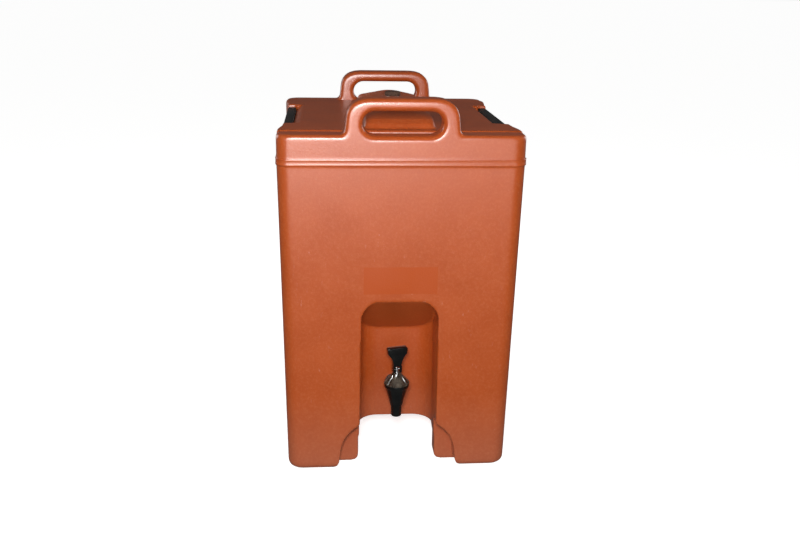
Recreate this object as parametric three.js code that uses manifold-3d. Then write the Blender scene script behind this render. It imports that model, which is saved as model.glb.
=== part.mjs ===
// Insulated drinks dispenser: a double-walled, foam-filled moulded tub on four short legs, with two loop
// handles, a lift-off lid held by two side latches, a screw-down vent cap and a no-drip tap in a front recess.
// Millimetres, +Z up. The front, with the tap, faces -Y. The origin is under the centre, on the ground.
import * as THREE from 'three';
import { mergeVertices } from 'three/addons/utils/BufferGeometryUtils.js';
import Module from 'manifold-3d';

const wasm = await Module();
wasm.setup();

// ---------------------------------------------------------------- driving dimensions
const GAP = 0.3;                  // clearance kept between pieces that touch
const RUN = 0.6;                  // clearance kept round pieces that move
const BEYOND = 30;                // how far a cutter runs out past the surface it cuts

const WIDTH = 419;                // across the top band
const DEPTH = 521;                // front to back across the top band
const LID_TOP = 619;              // height of the lid's flat top
const HANDLE_TOP = 677.5;         // height of the loop handles
const TAPER = 9.3;                // each side leans in by this much from the bead down to the ground
const CORNER_R = 24;              // vertical corners, in plan
const CORNER_STEPS = 8;           // flats round each vertical corner
const SHELL_WALL = 5;             // moulded skin

const BAND_TOP = 618;             // top of the front and rear bars
const BAR_DEPTH = 46;             // front to back size of each bar, and of its handle
const EDGE_R = 6;                 // rounding along the bars' top edges
const DECK_Z = 578;               // deck that the lid rests on
const BEAD_LOW = 566;             // raised bead round the body, lower edge
const BEAD_HIGH = 578;            // raised bead, upper edge
const BEAD_PROUD = 1.2;           // how far the bead stands out
const BEAD_ROUND = 3;             // height of the rounding at its edges
const BEAD_LINE = 5.2;            // height of each of its two lines
const BEAD_GROOVE = 0.55;         // share of its relief that is left between the lines

const HANDLE_HALF = 95.5;         // half width of a handle
const HANDLE_R = 36;              // its outer top corners
const HANDLE_FILLET = 11;         // where its legs meet the bar
const HANDLE_BEVEL = 8;           // rounding along its outer edges
const GRIP_HALF = 67;             // half width of the finger hole
const GRIP_LOW = 616;             // finger hole, bottom
const GRIP_HIGH = 656.5;          // finger hole, top
const GRIP_FLARE = 7;             // rounding where the finger hole meets the faces

const LEG_H = 58.5;               // height of the underside above the ground
const LEG_FRONT = 66;             // front to back size of a leg
const TUNNEL_HALF = 71;           // half width of the space between left and right legs
const FOOT_R = 12;                // rounding under the feet

const RECESS_HALF = 68;           // half width of the tap recess
const RECESS_TOP = 327.5;         // top of its front opening
const RECESS_ARCH_R = 37;         // top corners of the front opening
const RECESS_BACK = 110;          // how far the back wall lies behind the front face
const RECESS_CORNER_R = 38;       // back corners, in plan
const CEILING_DROP = 86;          // how much lower the ceiling is at the back wall
const RECESS_DRAFT = 1.5;         // each side wall leans out by this much at the foot
const RECESS_SPLAY = 2.5;         // and stands this much wider in front than at the back
const FLARE_HALF = 106;           // half width of the flared mouth between the front legs
const FLARE_TOP = 92;             // height where the flare starts
const FLARE_KNEE = 22;            // the flare's edge bends this far inside its half width
const FLARE_KNEE_Z = 77;          // and at this height
const FLARE_FOOT_Z = 20;          // below this the foot's inner corner is rounded
const FLARE_DEPTH = 32;           // how far the flare is set back

const FOAM_SIDE = 45;             // foam between the shell and the tank at the sides
const FOAM_ENDS = 56;             // foam at the front and rear
const LINER_WALL = 4;             // tank wall
const TANK_FLOOR = 104;           // inside floor of the tank
const TANK_R = 34;                // tank corners, in plan
const FLANGE = 22;                // width of the tank's top flange
const FOAM_BEHIND_TAP = 37;       // foam between the recess and the tank
const FOAM_OVER_TAP = 43;         // foam above the recess, where the tank steps forward
const TANK_STEP = 0.55;           // the tank's sloping step starts at this share of the ceiling's drop

const LID_GAP = 1.5;              // between the lid's ends and the bars
const LID_EDGE_R = 4;             // rounding along the lid's top edges
const LID_WALL = 4;               // lid skin
const WAIST = 6.5;                // how far the lid's long sides are drawn in at the latches
const WAIST_PAST_LATCH = 15;      // the drawn-in stretch goes on this far past the latch
const WAIST_TO_END = 18;          // the side is back at full width this far before the lid's end
const PLUG_DEPTH = 26;            // how far the lid reaches into the tank
const PLUG_WALL = 14;             // the plug's side, which also holds the gasket's groove
const PLUG_BEHIND = 1;            // the plug's side stands this far inside the gasket's groove
const PAN_WALL = 4;               // the lid's flat underside
const GASKET_W = 7;               // width and height of the lid gasket
const GASKET_LOW = 14;            // its lower edge below the deck
const GASKET_SQUEEZE = 0.8;       // clearance between gasket and tank
const HUMP_H = 31.5;              // height of the lid's raised centre above the flat
const HUMP_HALF_W = 62;           // its half width at the foot
const HUMP_TO_END = 17;           // from the hump's foot to the lid's end
const HUMP_R = 12;                // its corners in plan, at the foot
const VENT_BORE_R = 6;            // air passage through the lid

const CAP_R = 15;                 // vent cap
const CAP_H = 9.5;
const CAP_GRIPS = 16;             // grip ribs round the cap
const CAP_RIB = 0.9;              // depth between the ribs
const CAP_SEAT = 2.5;             // cap's underside above the hump
const SEAL_THICK = 1.8;

const LATCH_HALF = 126;           // half length of a latch
const LATCH_TOP = 613.5;
const LATCH_THICK = 16.8;         // width of its top
const LATCH_WEB = 6;              // thickness of its leg
const LATCH_SET_BACK = 6.3;       // its outer face lies this far inside the band's side
const LATCH_EDGE_R = 4;           // rounding along its outer top edge
const LATCH_GRIP_R = 2;           // and along its inner one
const LATCH_GRIP_H = 12;          // height of the bar's inner face
const LATCH_ROOT = 20;            // the bar has run into the leg this far below the top
const SCOOP_W = 15;               // finger scoop beside each latch
const SCOOP_DEEP = 12;            // at the latch, below the lid's top
const SCOOP_END = 4;              // the scoop ends this far before the latch does
const HINGE_Z = 546;              // latch pin
const PIN_R = 2.5;
const BARREL_R = 6;
const KNUCKLE_HALF = 11;          // half length of a bracket knuckle
const KNUCKLE_AT = 60;            // each bracket has one knuckle this far from its middle, both ways
const KNUCKLE_ROOM = 2.5;         // room above and below each knuckle, in the latch's leg
const BRACKET_HALF = 92;          // half length of the bracket
const BRACKET_THICK = 3;
const BRACKET_BELOW_DECK = 4;     // its upper edge
const SCREW_AT = 84;              // bracket screws, from the middle
const SCREW_R = 2;
const SCREW_LENGTH = 14;          // below the head
const SCREW_HEAD_R = 4;

const TAP_AHEAD = 55;             // tap axis in front of the recess's back wall
const TAP_LOW = 86;               // bottom of the spout
const SPOUT_R = 9.5;
const SPOUT_WALL = 2.5;
const BONNET_Z = 151;             // where the bonnet meets the tap body
const BONNET_TOP = 172;
const BONNET_R = 23.5;
const SHANK_Z = 128;
const SHANK_R = 11;
const SHANK_WALL = 4;
const SHANK_INTO_TANK = 22;       // how far the shank reaches into the tank
const PIN_ABOVE_BONNET = 7;       // lever pin above the bonnet's top
const LEVER_TOP = 222;
const LEVER_HALF = 19;            // half width of the lever's paddle
const LEVER_THICK = 11;
const LEVER_TWIST = 14;           // degrees that the lever is turned on its stem
const STEM_R = 3;
const LEVER_PIN_R = 1.5;
const WASHER = 3;                 // thickness of the shank's washers
const NUT = 9;                    // thickness of the lock nut
const PORT_R = 16;                // foam filling port under the body
const PORT_Y = 60;                // behind the middle
const PLUG_RIM = 4;               // the port plug's head is wider than the port by this much all round
const PLUG_HEAD = 2;              // and this thick

// ---------------------------------------------------------------- derived places
const halfW = WIDTH / 2;
const halfD = DEPTH / 2;
const barInner = halfD - BAR_DEPTH;
const recessBack = -halfD + RECESS_BACK;
const tapY = recessBack - TAP_AHEAD;
const tankHalfW = halfW - SHELL_WALL - FOAM_SIDE - LINER_WALL;
const tankHalfD = halfD - SHELL_WALL - FOAM_ENDS - LINER_WALL;
const tankFrontLow = recessBack + SHELL_WALL + FOAM_BEHIND_TAP + LINER_WALL;
const flangeHalfW = tankHalfW + LINER_WALL + FLANGE;
const flangeHalfD = tankHalfD + LINER_WALL + FLANGE / 2;
const lidHalfD = barInner - LID_GAP;
const latchOut = halfW - LATCH_SET_BACK;
const latchIn = latchOut - LATCH_THICK;
const hingeX = latchOut - LATCH_WEB / 2;
const bracketOut = hingeX - BARREL_R - RUN;
const pocketX = bracketOut - BRACKET_THICK - GAP;
const pocketLow = HINGE_Z - BARREL_R - RUN;
const leverPinZ = BONNET_TOP + PIN_ABOVE_BONNET;
const waistFlat = LATCH_HALF + WAIST_PAST_LATCH;
const waistEnd = lidHalfD - WAIST_TO_END;
const humpHalfL = lidHalfD - HUMP_TO_END;

// ---------------------------------------------------------------- materials
function plastic(color, roughness = 0.6) {
  return new THREE.MeshStandardMaterial({ color, roughness, metalness: 0 });
}
const terracotta = plastic(0xbb5a33);
const blackNylon = plastic(0x1a1c1b, 0.45);
const blackGloss = plastic(0x141515, 0.2);
const foamYellow = plastic(0xd9c583, 0.9);
const silicone = plastic(0xd8d4cc, 0.5);
const rubber = plastic(0x2a2a2a, 0.8);
const steel = new THREE.MeshStandardMaterial({ color: 0xb9bcc0, roughness: 0.3, metalness: 1 });

// ---------------------------------------------------------------- solids
/** A closed geometry as a solid that can be cut and joined. */
function solid(geometry, matrix) {
  const g = geometry.index ? geometry.toNonIndexed() : geometry.clone();
  for (const name of Object.keys(g.attributes)) {
    if (name !== 'position') g.deleteAttribute(name);
  }
  if (matrix) g.applyMatrix4(matrix);
  const merged = mergeVertices(g, 1e-4);
  const vertProperties = new Float32Array(merged.attributes.position.array);
  const triVerts = new Uint32Array(merged.index.array);
  return new wasm.Manifold(new wasm.Mesh({ numProp: 3, vertProperties, triVerts }));
}

/** A solid back to a three.js geometry. */
function toGeometry(body) {
  const { vertProperties, triVerts } = body.getMesh();
  const g = new THREE.BufferGeometry();
  g.setAttribute('position', new THREE.BufferAttribute(new Float32Array(vertProperties), 3));
  g.setIndex(new THREE.BufferAttribute(new Uint32Array(triVerts), 1));
  g.computeVertexNormals();
  return g;
}

function joinAll(first, ...rest) {
  return rest.reduce((a, b) => a.add(b), first);
}

function cutAll(first, ...rest) {
  return rest.reduce((a, b) => a.subtract(b), first);
}

/** A box from its lowest to its highest corner. */
function block(x0, y0, z0, x1, y1, z1) {
  const g = new THREE.BoxGeometry(x1 - x0, y1 - y0, z1 - z0);
  g.translate((x0 + x1) / 2, (y0 + y1) / 2, (z0 + z1) / 2);
  return solid(g);
}

/** A round bar of the given radius between two points. */
function rod(from, to, radius, sides = 20) {
  const a = new THREE.Vector3(...from);
  const b = new THREE.Vector3(...to);
  const along = b.clone().sub(a);
  const g = new THREE.CylinderGeometry(radius, radius, along.length(), sides);
  const turn = new THREE.Quaternion().setFromUnitVectors(new THREE.Vector3(0, 1, 0), along.normalize());
  g.applyQuaternion(turn);
  g.translate(...a.add(b).multiplyScalar(0.5).toArray());
  return solid(g);
}

/** A turned shape: radius and height pairs that start and end on the axis, about a vertical axis. */
function turned(profile, sides = 24) {
  const g = new THREE.LatheGeometry(profile.map(([r, z]) => new THREE.Vector2(r, z)), sides);
  g.rotateX(Math.PI / 2);
  return solid(g);
}

/** An outline in the XZ plane carried along Y. */
function alongY(shape, y0, y1, curveSegments = 8) {
  const g = new THREE.ExtrudeGeometry(shape, { depth: y1 - y0, bevelEnabled: false, curveSegments });
  g.rotateX(Math.PI / 2);
  g.translate(0, y1, 0);
  return solid(g);
}

/** An outline in the YZ plane carried along X. */
function alongX(shape, x0, x1, curveSegments = 8) {
  const g = new THREE.ExtrudeGeometry(shape, { depth: x1 - x0, bevelEnabled: false, curveSegments });
  const turn = new THREE.Matrix4().makeBasis(
    new THREE.Vector3(0, 1, 0), new THREE.Vector3(0, 0, 1), new THREE.Vector3(1, 0, 0));
  g.applyMatrix4(turn);
  g.translate(x0, 0, 0);
  return solid(g);
}

/** An outline in the XY plane carried up Z. */
function alongZ(shape, z0, z1, curveSegments = 8) {
  const g = new THREE.ExtrudeGeometry(shape, { depth: z1 - z0, bevelEnabled: false, curveSegments });
  g.translate(0, 0, z0);
  return solid(g);
}

/** Points of a rounded rectangle, anticlockwise from above, with extra points on the long (Y) sides. */
function roundedRing(x0, x1, y0, y1, radius, perCorner = 5, perSide = 1) {
  const r = Math.max(0.5, Math.min(radius, (x1 - x0) / 2 - 0.5, (y1 - y0) / 2 - 0.5));
  const corners = [[x1 - r, y1 - r, 0], [x0 + r, y1 - r, 90], [x0 + r, y0 + r, 180], [x1 - r, y0 + r, 270]];
  const ring = [];
  corners.forEach(([cx, cy, start], index) => {
    for (let i = 0; i <= perCorner; i += 1) {
      const a = THREE.MathUtils.degToRad(start + 90 * i / perCorner);
      ring.push([cx + r * Math.cos(a), cy + r * Math.sin(a)]);
    }
    const onLongSide = index % 2 === 1;
    const next = corners[(index + 1) % 4][1];
    for (let i = 1; onLongSide && i < perSide; i += 1) {
      ring.push([index === 1 ? x0 : x1, THREE.MathUtils.lerp(cy, next, i / perSide)]);
    }
  });
  return ring;
}

/** A solid through rings of points at rising heights, closed flat at both ends. */
function loft(levels) {
  const count = levels[0].ring.length;
  const positions = levels.flatMap(({ z, ring }) => ring.flatMap(([x, y]) => [x, y, z]));
  const index = [];
  for (let k = 0; k < levels.length - 1; k += 1) {
    for (let i = 0; i < count; i += 1) {
      const a = k * count + i;
      const b = k * count + (i + 1) % count;
      index.push(a, b, b + count, a, b + count, a + count);
    }
  }
  const top = (levels.length - 1) * count;
  for (let i = 1; i < count - 1; i += 1) {
    index.push(0, i + 1, i);
    index.push(top, top + i, top + i + 1);
  }
  const g = new THREE.BufferGeometry();
  g.setAttribute('position', new THREE.BufferAttribute(new Float32Array(positions), 3));
  g.setIndex(index);
  return solid(g);
}

/** A straight upright block with rounded corners, about the middle. */
function upright(x, y, radius, low, high) {
  return loft([low, high].map((z) => ({ z, ring: roundedRing(-x, x, -y, y, radius) })));
}

// ---------------------------------------------------------------- body
/** How far the sides have leaned in at a height. */
function lean(z) {
  return TAPER * Math.max(0, 1 - z / BEAD_LOW);
}

/** The outer block of the body up to a height, set in by `inset` all over, with rounded feet. */
function outerBlock(inset, top) {
  const level = (z, extra) => {
    const s = inset + extra + lean(z);
    const r = CORNER_R - inset - extra * 0.3;
    return { z, ring: roundedRing(-halfW + s, halfW - s, -halfD + s, halfD - s, r, CORNER_STEPS) };
  };
  const feet = [90, 60, 30, 0].map((a) => {
    const t = THREE.MathUtils.degToRad(a);
    return level(inset + FOOT_R * (1 - Math.sin(t)), FOOT_R * (1 - Math.cos(t)));
  });
  const sides = [level(BEAD_LOW, 0)];
  if (inset === 0) {
    const between = -BEAD_PROUD * BEAD_GROOVE;
    sides.push(level(BEAD_LOW + BEAD_ROUND, -BEAD_PROUD), level(BEAD_LOW + BEAD_LINE, between));
    sides.push(level(BEAD_HIGH - BEAD_LINE, between), level(BEAD_HIGH - BEAD_ROUND, -BEAD_PROUD));
    sides.push(level(BEAD_HIGH, 0));
  }
  const crown = [];
  if (top > DECK_Z) {
    for (const a of [0, 30, 60, 90]) {
      const t = THREE.MathUtils.degToRad(a);
      crown.push(level(top - EDGE_R + EDGE_R * Math.sin(t), EDGE_R * (1 - Math.cos(t))));
    }
  } else {
    crown.push(level(top, 0));
  }
  return loft([...feet, ...sides, ...crown]);
}

/** The tap recess, grown by `grow` all over: an arched opening, a sloping ceiling and round back corners. */
function recessCut(grow) {
  const half = RECESS_HALF + grow;
  const wide = half + RECESS_DRAFT;
  const top = RECESS_TOP + grow;
  const r = RECESS_ARCH_R + grow;
  const low = LEG_H - BEYOND;
  const arch = new THREE.Shape();
  arch.moveTo(-wide, low);
  arch.lineTo(wide, low);
  arch.lineTo(half, top - r);
  arch.absarc(half - r, top - r, r, 0, Math.PI / 2);
  arch.absarc(-half + r, top - r, r, Math.PI / 2, Math.PI);
  arch.closePath();
  const front = -halfD - BEYOND;
  const back = recessBack + grow;
  const rc = RECESS_CORNER_R + grow * 0.5;
  const plan = new THREE.Shape();
  plan.moveTo(-wide - RECESS_SPLAY, front);
  plan.lineTo(wide + RECESS_SPLAY, front);
  plan.lineTo(wide, back - rc);
  plan.absarc(wide - rc, back - rc, rc, 0, Math.PI / 2);
  plan.absarc(-wide + rc, back - rc, rc, Math.PI / 2, Math.PI);
  plan.closePath();
  const face = -halfD + lean(RECESS_TOP);
  const slope = CEILING_DROP / (recessBack - face);
  const lift = grow * Math.hypot(1, slope);
  const ceiling = (y) => RECESS_TOP + lift - slope * (y - face);
  const past = back + BEYOND;
  const side = new THREE.Shape();
  side.moveTo(front, low);
  side.lineTo(past, low);
  side.lineTo(past, ceiling(past));
  side.lineTo(front, ceiling(front));
  side.closePath();
  return alongY(arch, front, past)
    .intersect(alongZ(plan, low, top + BEYOND))
    .intersect(alongX(side, -half - BEYOND, half + BEYOND));
}

/** The open space under the body, grown by `grow`: front to back between the legs, and side to side. */
function undersideCut(grow) {
  const roof = LEG_H + grow;
  const tunnelHalf = TUNNEL_HALF + grow;
  const legIn = halfD - TAPER - LEG_FRONT + grow;
  const r = FOOT_R;
  const archShape = (half) => {
    const s = new THREE.Shape();
    s.moveTo(-half - r, -BEYOND);
    s.lineTo(half + r, -BEYOND);
    s.lineTo(half + r, grow);
    s.quadraticCurveTo(half + 1, grow + 1, half, grow + r);
    s.lineTo(half, roof - r);
    s.absarc(half - r, roof - r, r, 0, Math.PI / 2);
    s.absarc(-half + r, roof - r, r, Math.PI / 2, Math.PI);
    s.lineTo(-half, grow + r);
    s.quadraticCurveTo(-half - 1, grow + 1, -half - r, grow);
    s.closePath();
    return s;
  };
  return joinAll(alongY(archShape(tunnelHalf), -halfD - BEYOND, halfD + BEYOND, 4),
    alongX(archShape(legIn), -halfW - BEYOND, halfW + BEYOND, 4));
}

/** The flared mouth at the foot of the recess, cut into the inner half of both front legs. */
function flareCut(grow) {
  const half = FLARE_HALF + grow;
  const kneeX = half - FLARE_KNEE;
  const kneeZ = FLARE_KNEE_Z + grow;
  const footX = half + FOOT_R;
  const s = new THREE.Shape();
  s.moveTo(-footX, -BEYOND);
  s.lineTo(footX, -BEYOND);
  s.lineTo(footX, grow);
  s.quadraticCurveTo(half + 2, grow + 3, half, FLARE_FOOT_Z);
  s.bezierCurveTo(half - 1, kneeZ * 0.6, half - FLARE_KNEE * 0.36, kneeZ * 0.83, kneeX, kneeZ);
  s.lineTo(RECESS_HALF - 2, FLARE_TOP + grow);
  s.lineTo(-RECESS_HALF + 2, FLARE_TOP + grow);
  s.lineTo(-kneeX, kneeZ);
  s.bezierCurveTo(-half + FLARE_KNEE * 0.36, kneeZ * 0.83, -half + 1, kneeZ * 0.6, -half, FLARE_FOOT_Z);
  s.quadraticCurveTo(-half - 2, grow + 3, -footX, grow);
  s.closePath();
  return alongY(s, -halfD - BEYOND, -halfD + TAPER + FLARE_DEPTH + grow);
}

/** The pocket in a body side that takes a latch and its bracket. */
function latchPocket(side, grow) {
  const half = LATCH_HALF + RUN + grow;
  const x0 = pocketX - grow;
  const x1 = halfW + BEYOND;
  const low = pocketLow - grow;
  const high = LID_TOP + BEYOND;
  return side > 0 ? block(x0, -half, low, x1, half, high) : block(-x1, -half, low, -x0, half, high);
}

/** The body's solid form up to a height, inset all over: outside for 0, the foam space for the wall. */
function bodyForm(inset, top) {
  return cutAll(outerBlock(inset, top), recessCut(inset), undersideCut(inset), flareCut(inset),
    latchPocket(1, inset), latchPocket(-1, inset));
}

/** The tank's block: straight sides, and a front that steps back over the tap recess. */
function tankForm(grow, low, high) {
  const x = tankHalfW + grow;
  const rear = tankHalfD + grow;
  const stepTop = RECESS_TOP + FOAM_OVER_TAP;
  const stepLow = RECESS_TOP - CEILING_DROP * TANK_STEP;
  const level = (z, front) => ({ z, ring: roundedRing(-x, x, front, rear, TANK_R + grow) });
  return loft([
    level(low, tankFrontLow - grow),
    level(stepLow - grow, tankFrontLow - grow),
    level(stepTop - grow, -rear),
    level(high, -rear),
  ]);
}

/** One loop handle with its finger hole, on the front bar; the rear one is the same turned round. */
function handleLoop() {
  const base = BAND_TOP - 2 * HANDLE_BEVEL - 6;
  const fillet = HANDLE_FILLET;
  const foot = HANDLE_HALF + fillet + HANDLE_BEVEL + 2;
  const s = new THREE.Shape();
  s.moveTo(-foot, base);
  s.lineTo(foot, base);
  s.lineTo(foot, BAND_TOP - 1);
  s.lineTo(HANDLE_HALF + fillet, BAND_TOP - 1);
  s.quadraticCurveTo(HANDLE_HALF + 1, BAND_TOP, HANDLE_HALF, BAND_TOP + fillet);
  s.lineTo(HANDLE_HALF - 1, HANDLE_TOP - HANDLE_R);
  s.quadraticCurveTo(HANDLE_HALF - 2, HANDLE_TOP - 1, HANDLE_HALF - HANDLE_R - 6, HANDLE_TOP);
  s.lineTo(-HANDLE_HALF + HANDLE_R + 6, HANDLE_TOP);
  s.quadraticCurveTo(-HANDLE_HALF + 2, HANDLE_TOP - 1, -HANDLE_HALF + 1, HANDLE_TOP - HANDLE_R);
  s.lineTo(-HANDLE_HALF, BAND_TOP + fillet);
  s.quadraticCurveTo(-HANDLE_HALF - 1, BAND_TOP, -HANDLE_HALF - fillet, BAND_TOP - 1);
  s.lineTo(-foot, BAND_TOP - 1);
  s.closePath();
  const bevel = HANDLE_BEVEL;
  const g = new THREE.ExtrudeGeometry(s, {
    depth: BAR_DEPTH - 2 * bevel, bevelEnabled: true, bevelThickness: bevel, bevelSize: bevel,
    bevelOffset: -bevel, bevelSegments: 3, curveSegments: 6,
  });
  g.rotateX(Math.PI / 2);
  g.translate(0, -barInner - bevel, 0);
  return solid(g);
}

/** The finger hole: a slot with round ends that opens out towards both faces. */
function gripHole() {
  const slot = (grow) => {
    const r = (GRIP_HIGH - GRIP_LOW) / 2;
    const mid = (GRIP_HIGH + GRIP_LOW) / 2;
    const s = new THREE.Shape();
    s.absarc(GRIP_HALF - r, mid, r + grow, -Math.PI / 2, Math.PI / 2);
    s.absarc(-GRIP_HALF + r, mid, r + grow, Math.PI / 2, Math.PI * 1.5);
    s.closePath();
    return s;
  };
  const ringOf = (grow, y) => slot(grow).extractPoints(8).shape.map((p) => [p.x, y, p.y]);
  const outer = -halfD;
  const inner = -barInner;
  const stations = [
    [GRIP_FLARE, outer - 0.5], [GRIP_FLARE * 0.45, outer + 2.4], [GRIP_FLARE * 0.1, outer + 6],
    [0, outer + GRIP_FLARE + 1], [0, inner - GRIP_FLARE - 1],
    [GRIP_FLARE * 0.1, inner - 6], [GRIP_FLARE * 0.45, inner - 2.4], [GRIP_FLARE, inner + 0.5],
  ];
  const rings = stations.map(([grow, y]) => ringOf(grow, y));
  const count = rings[0].length;
  const index = [];
  for (let k = 0; k < rings.length - 1; k += 1) {
    for (let i = 0; i < count; i += 1) {
      const a = k * count + i;
      const b = k * count + (i + 1) % count;
      index.push(a, b + count, b, a, a + count, b + count);
    }
  }
  const top = (rings.length - 1) * count;
  for (let i = 1; i < count - 1; i += 1) {
    index.push(0, i, i + 1);
    index.push(top, top + i + 1, top + i);
  }
  const g = new THREE.BufferGeometry();
  g.setAttribute('position', new THREE.BufferAttribute(new Float32Array(rings.flat(2)), 3));
  g.setIndex(index);
  const body = solid(g);
  return body.volume() > 0 ? body : solid(flip(g));
}

/** The same closed surface with its faces turned over. */
function flip(geometry) {
  const g = geometry.clone();
  const index = Array.from(g.index.array);
  for (let i = 0; i < index.length; i += 3) [index[i], index[i + 1]] = [index[i + 1], index[i]];
  g.setIndex(index);
  return g;
}

/** A solid turned half round the upright axis. */
function halfTurn(body) {
  return solid(toGeometry(body), new THREE.Matrix4().makeRotationZ(Math.PI));
}

const shankHole = (radius) => rod([0, recessBack - 20, SHANK_Z], [0, tankFrontLow + 20, SHANK_Z], radius);
const screwPlaces = [1, -1].flatMap((side) => [1, -1].map((end) => ({ side, end })));
const screwZ = (HINGE_Z + BARREL_R + DECK_Z) / 2 - 1;
const screwTip = bracketOut - SCREW_LENGTH;

function screwHoles(radius) {
  return screwPlaces.map(({ side, end }) =>
    rod([side * (screwTip - 1), end * SCREW_AT, screwZ], [side * (bracketOut + 2), end * SCREW_AT, screwZ],
      radius, 12));
}

function outerShell() {
  const front = handleLoop();
  const grip = gripHole();
  const outside = joinAll(bodyForm(0, BAND_TOP), front, halfTurn(front));
  const lidBay = block(-halfW - BEYOND, -barInner, DECK_Z, halfW + BEYOND, barInner, HANDLE_TOP + BEYOND);
  const rebateLow = DECK_Z - LINER_WALL - GAP;
  const rebate = upright(flangeHalfW + GAP, flangeHalfD + GAP, TANK_R + GAP, rebateLow, DECK_Z + 5);
  const skirt = LINER_WALL + GAP;
  const mouth = upright(tankHalfW + skirt, tankHalfD + skirt, TANK_R + skirt, DECK_Z - BEYOND, DECK_Z + 5);
  const foamSpace = bodyForm(SHELL_WALL, DECK_Z - LINER_WALL - SHELL_WALL);
  const port = rod([0, PORT_Y, LEG_H - 5], [0, PORT_Y, LEG_H + 20], PORT_R + GAP);
  return cutAll(outside, grip, halfTurn(grip), lidBay, rebate, mouth, foamSpace, port,
    shankHole(SHANK_R + GAP), ...screwHoles(SCREW_R + GAP));
}

function innerLiner() {
  const outside = tankForm(LINER_WALL, TANK_FLOOR - LINER_WALL, DECK_Z);
  const flange = upright(flangeHalfW, flangeHalfD, TANK_R, DECK_Z - LINER_WALL, DECK_Z);
  return cutAll(joinAll(outside, flange), tankForm(0, TANK_FLOOR, DECK_Z + 5), shankHole(SHANK_R + GAP));
}

function foamInsulation() {
  const space = bodyForm(SHELL_WALL + GAP, DECK_Z - LINER_WALL - SHELL_WALL - GAP);
  const tank = tankForm(LINER_WALL + GAP, TANK_FLOOR - LINER_WALL - GAP, DECK_Z + 5);
  return cutAll(space, tank, shankHole(SHANK_R + GAP), ...screwHoles(SCREW_R + GAP));
}

function foamPortPlug() {
  const z = LEG_H;
  const rim = PORT_R + PLUG_RIM;
  return turned([[0, z - PLUG_HEAD], [rim, z - PLUG_HEAD], [rim, z - GAP], [PORT_R, z - GAP],
    [PORT_R, z + SHELL_WALL - GAP], [0, z + SHELL_WALL - GAP]]);
}

// ---------------------------------------------------------------- lid
/** How far a lid side is drawn in at a distance from the middle. */
function waist(y) {
  return WAIST * (1 - THREE.MathUtils.smoothstep(Math.abs(y), waistFlat, waistEnd));
}

function lidRing(inset) {
  const x = halfW - inset;
  const y = lidHalfD - inset;
  return roundedRing(-x, x, -y, y, 5, 3, 24).map(([px, py]) => [px - Math.sign(px) * waist(py), py]);
}

/** The hump's levels: each is a height above the lid, and how far its sides and its ends have drawn in. */
function humpLevels(inset) {
  const steps = [[0, 0, 0], [9, 1.5, 7], [15, 3, 17], [19, 6, 30], [22, 13, 40], [25, 20, 49], [27.5, 29, 58],
    [29.8, 40, 67], [HUMP_H, 50, 75]];
  return steps.map(([rise, sides, ends]) => {
    const x = HUMP_HALF_W - sides - inset;
    const y = humpHalfL - ends - inset;
    return {
      z: LID_TOP - inset - 1 + rise * (HUMP_H + 1) / HUMP_H,
      ring: roundedRing(-x, x, -y, y, Math.min(HUMP_R + sides, x - 1), 5),
    };
  });
}

/** A finger scoop that slopes down towards its latch. */
function scoopCut(side) {
  const s = new THREE.Shape();
  const inner = latchIn - SCOOP_W;
  const bottom = LID_TOP - SCOOP_DEEP;
  s.moveTo(side * inner, LID_TOP + 0.5);
  s.lineTo(side * (latchIn + 1), bottom);
  s.lineTo(side * (latchIn + 1), LID_TOP + 10);
  s.lineTo(side * inner, LID_TOP + 10);
  s.closePath();
  return alongY(s, -LATCH_HALF + SCOOP_END, LATCH_HALF - SCOOP_END);
}

/** The slot in a lid side that the latch stands in. */
function latchNotch(side, grow) {
  const half = LATCH_HALF + RUN + grow;
  const x0 = latchIn - RUN - grow;
  const x1 = halfW + BEYOND;
  const low = DECK_Z - 10;
  const high = LID_TOP + 40;
  return side > 0 ? block(x0, -half, low, x1, half, high) : block(-x1, -half, low, -x0, half, high);
}

/** The lid's form, inset all over, from a height upwards. */
function lidForm(inset, low) {
  const top = LID_TOP - inset;
  const levels = [{ z: low, ring: lidRing(inset) }];
  for (const a of [0, 30, 60, 90]) {
    const t = THREE.MathUtils.degToRad(a);
    levels.push({
      z: top - LID_EDGE_R + LID_EDGE_R * Math.sin(t),
      ring: lidRing(inset + LID_EDGE_R * (1 - Math.cos(t))),
    });
  }
  return cutAll(joinAll(loft(levels), loft(humpLevels(inset))), latchNotch(1, inset), latchNotch(-1, inset));
}

const lidLow = DECK_Z + GAP;
const panTop = lidLow + PAN_WALL;
const ventHole = (radius) => rod([0, 0, DECK_Z - 60], [0, 0, LID_TOP + 60], radius);

function lidShell() {
  const hollow = cutAll(lidForm(LID_WALL, lidLow - 5), scoopWall(1, 0), scoopWall(-1, 0));
  return cutAll(lidForm(0, lidLow), hollow, scoopCut(1), scoopCut(-1), ventHole(VENT_BORE_R));
}

/** The scoop's cutter made larger by its own wall and some clearance, to be kept out of the lid's hollow. */
function scoopWall(side, clearance) {
  const wall = LID_WALL + clearance;
  const longer = (LATCH_HALF + wall) / LATCH_HALF;
  const grown = new THREE.Matrix4().makeTranslation(-side * wall, 0, -wall);
  grown.scale(new THREE.Vector3(1, longer, 1));
  return solid(toGeometry(scoopCut(side)), grown);
}

function lidFoam() {
  const space = lidForm(LID_WALL + GAP, panTop + GAP).add(plugForm(PLUG_WALL + GAP, panTop + 5));
  return cutAll(space, scoopWall(1, GAP), scoopWall(-1, GAP), ventHole(VENT_BORE_R));
}

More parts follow.
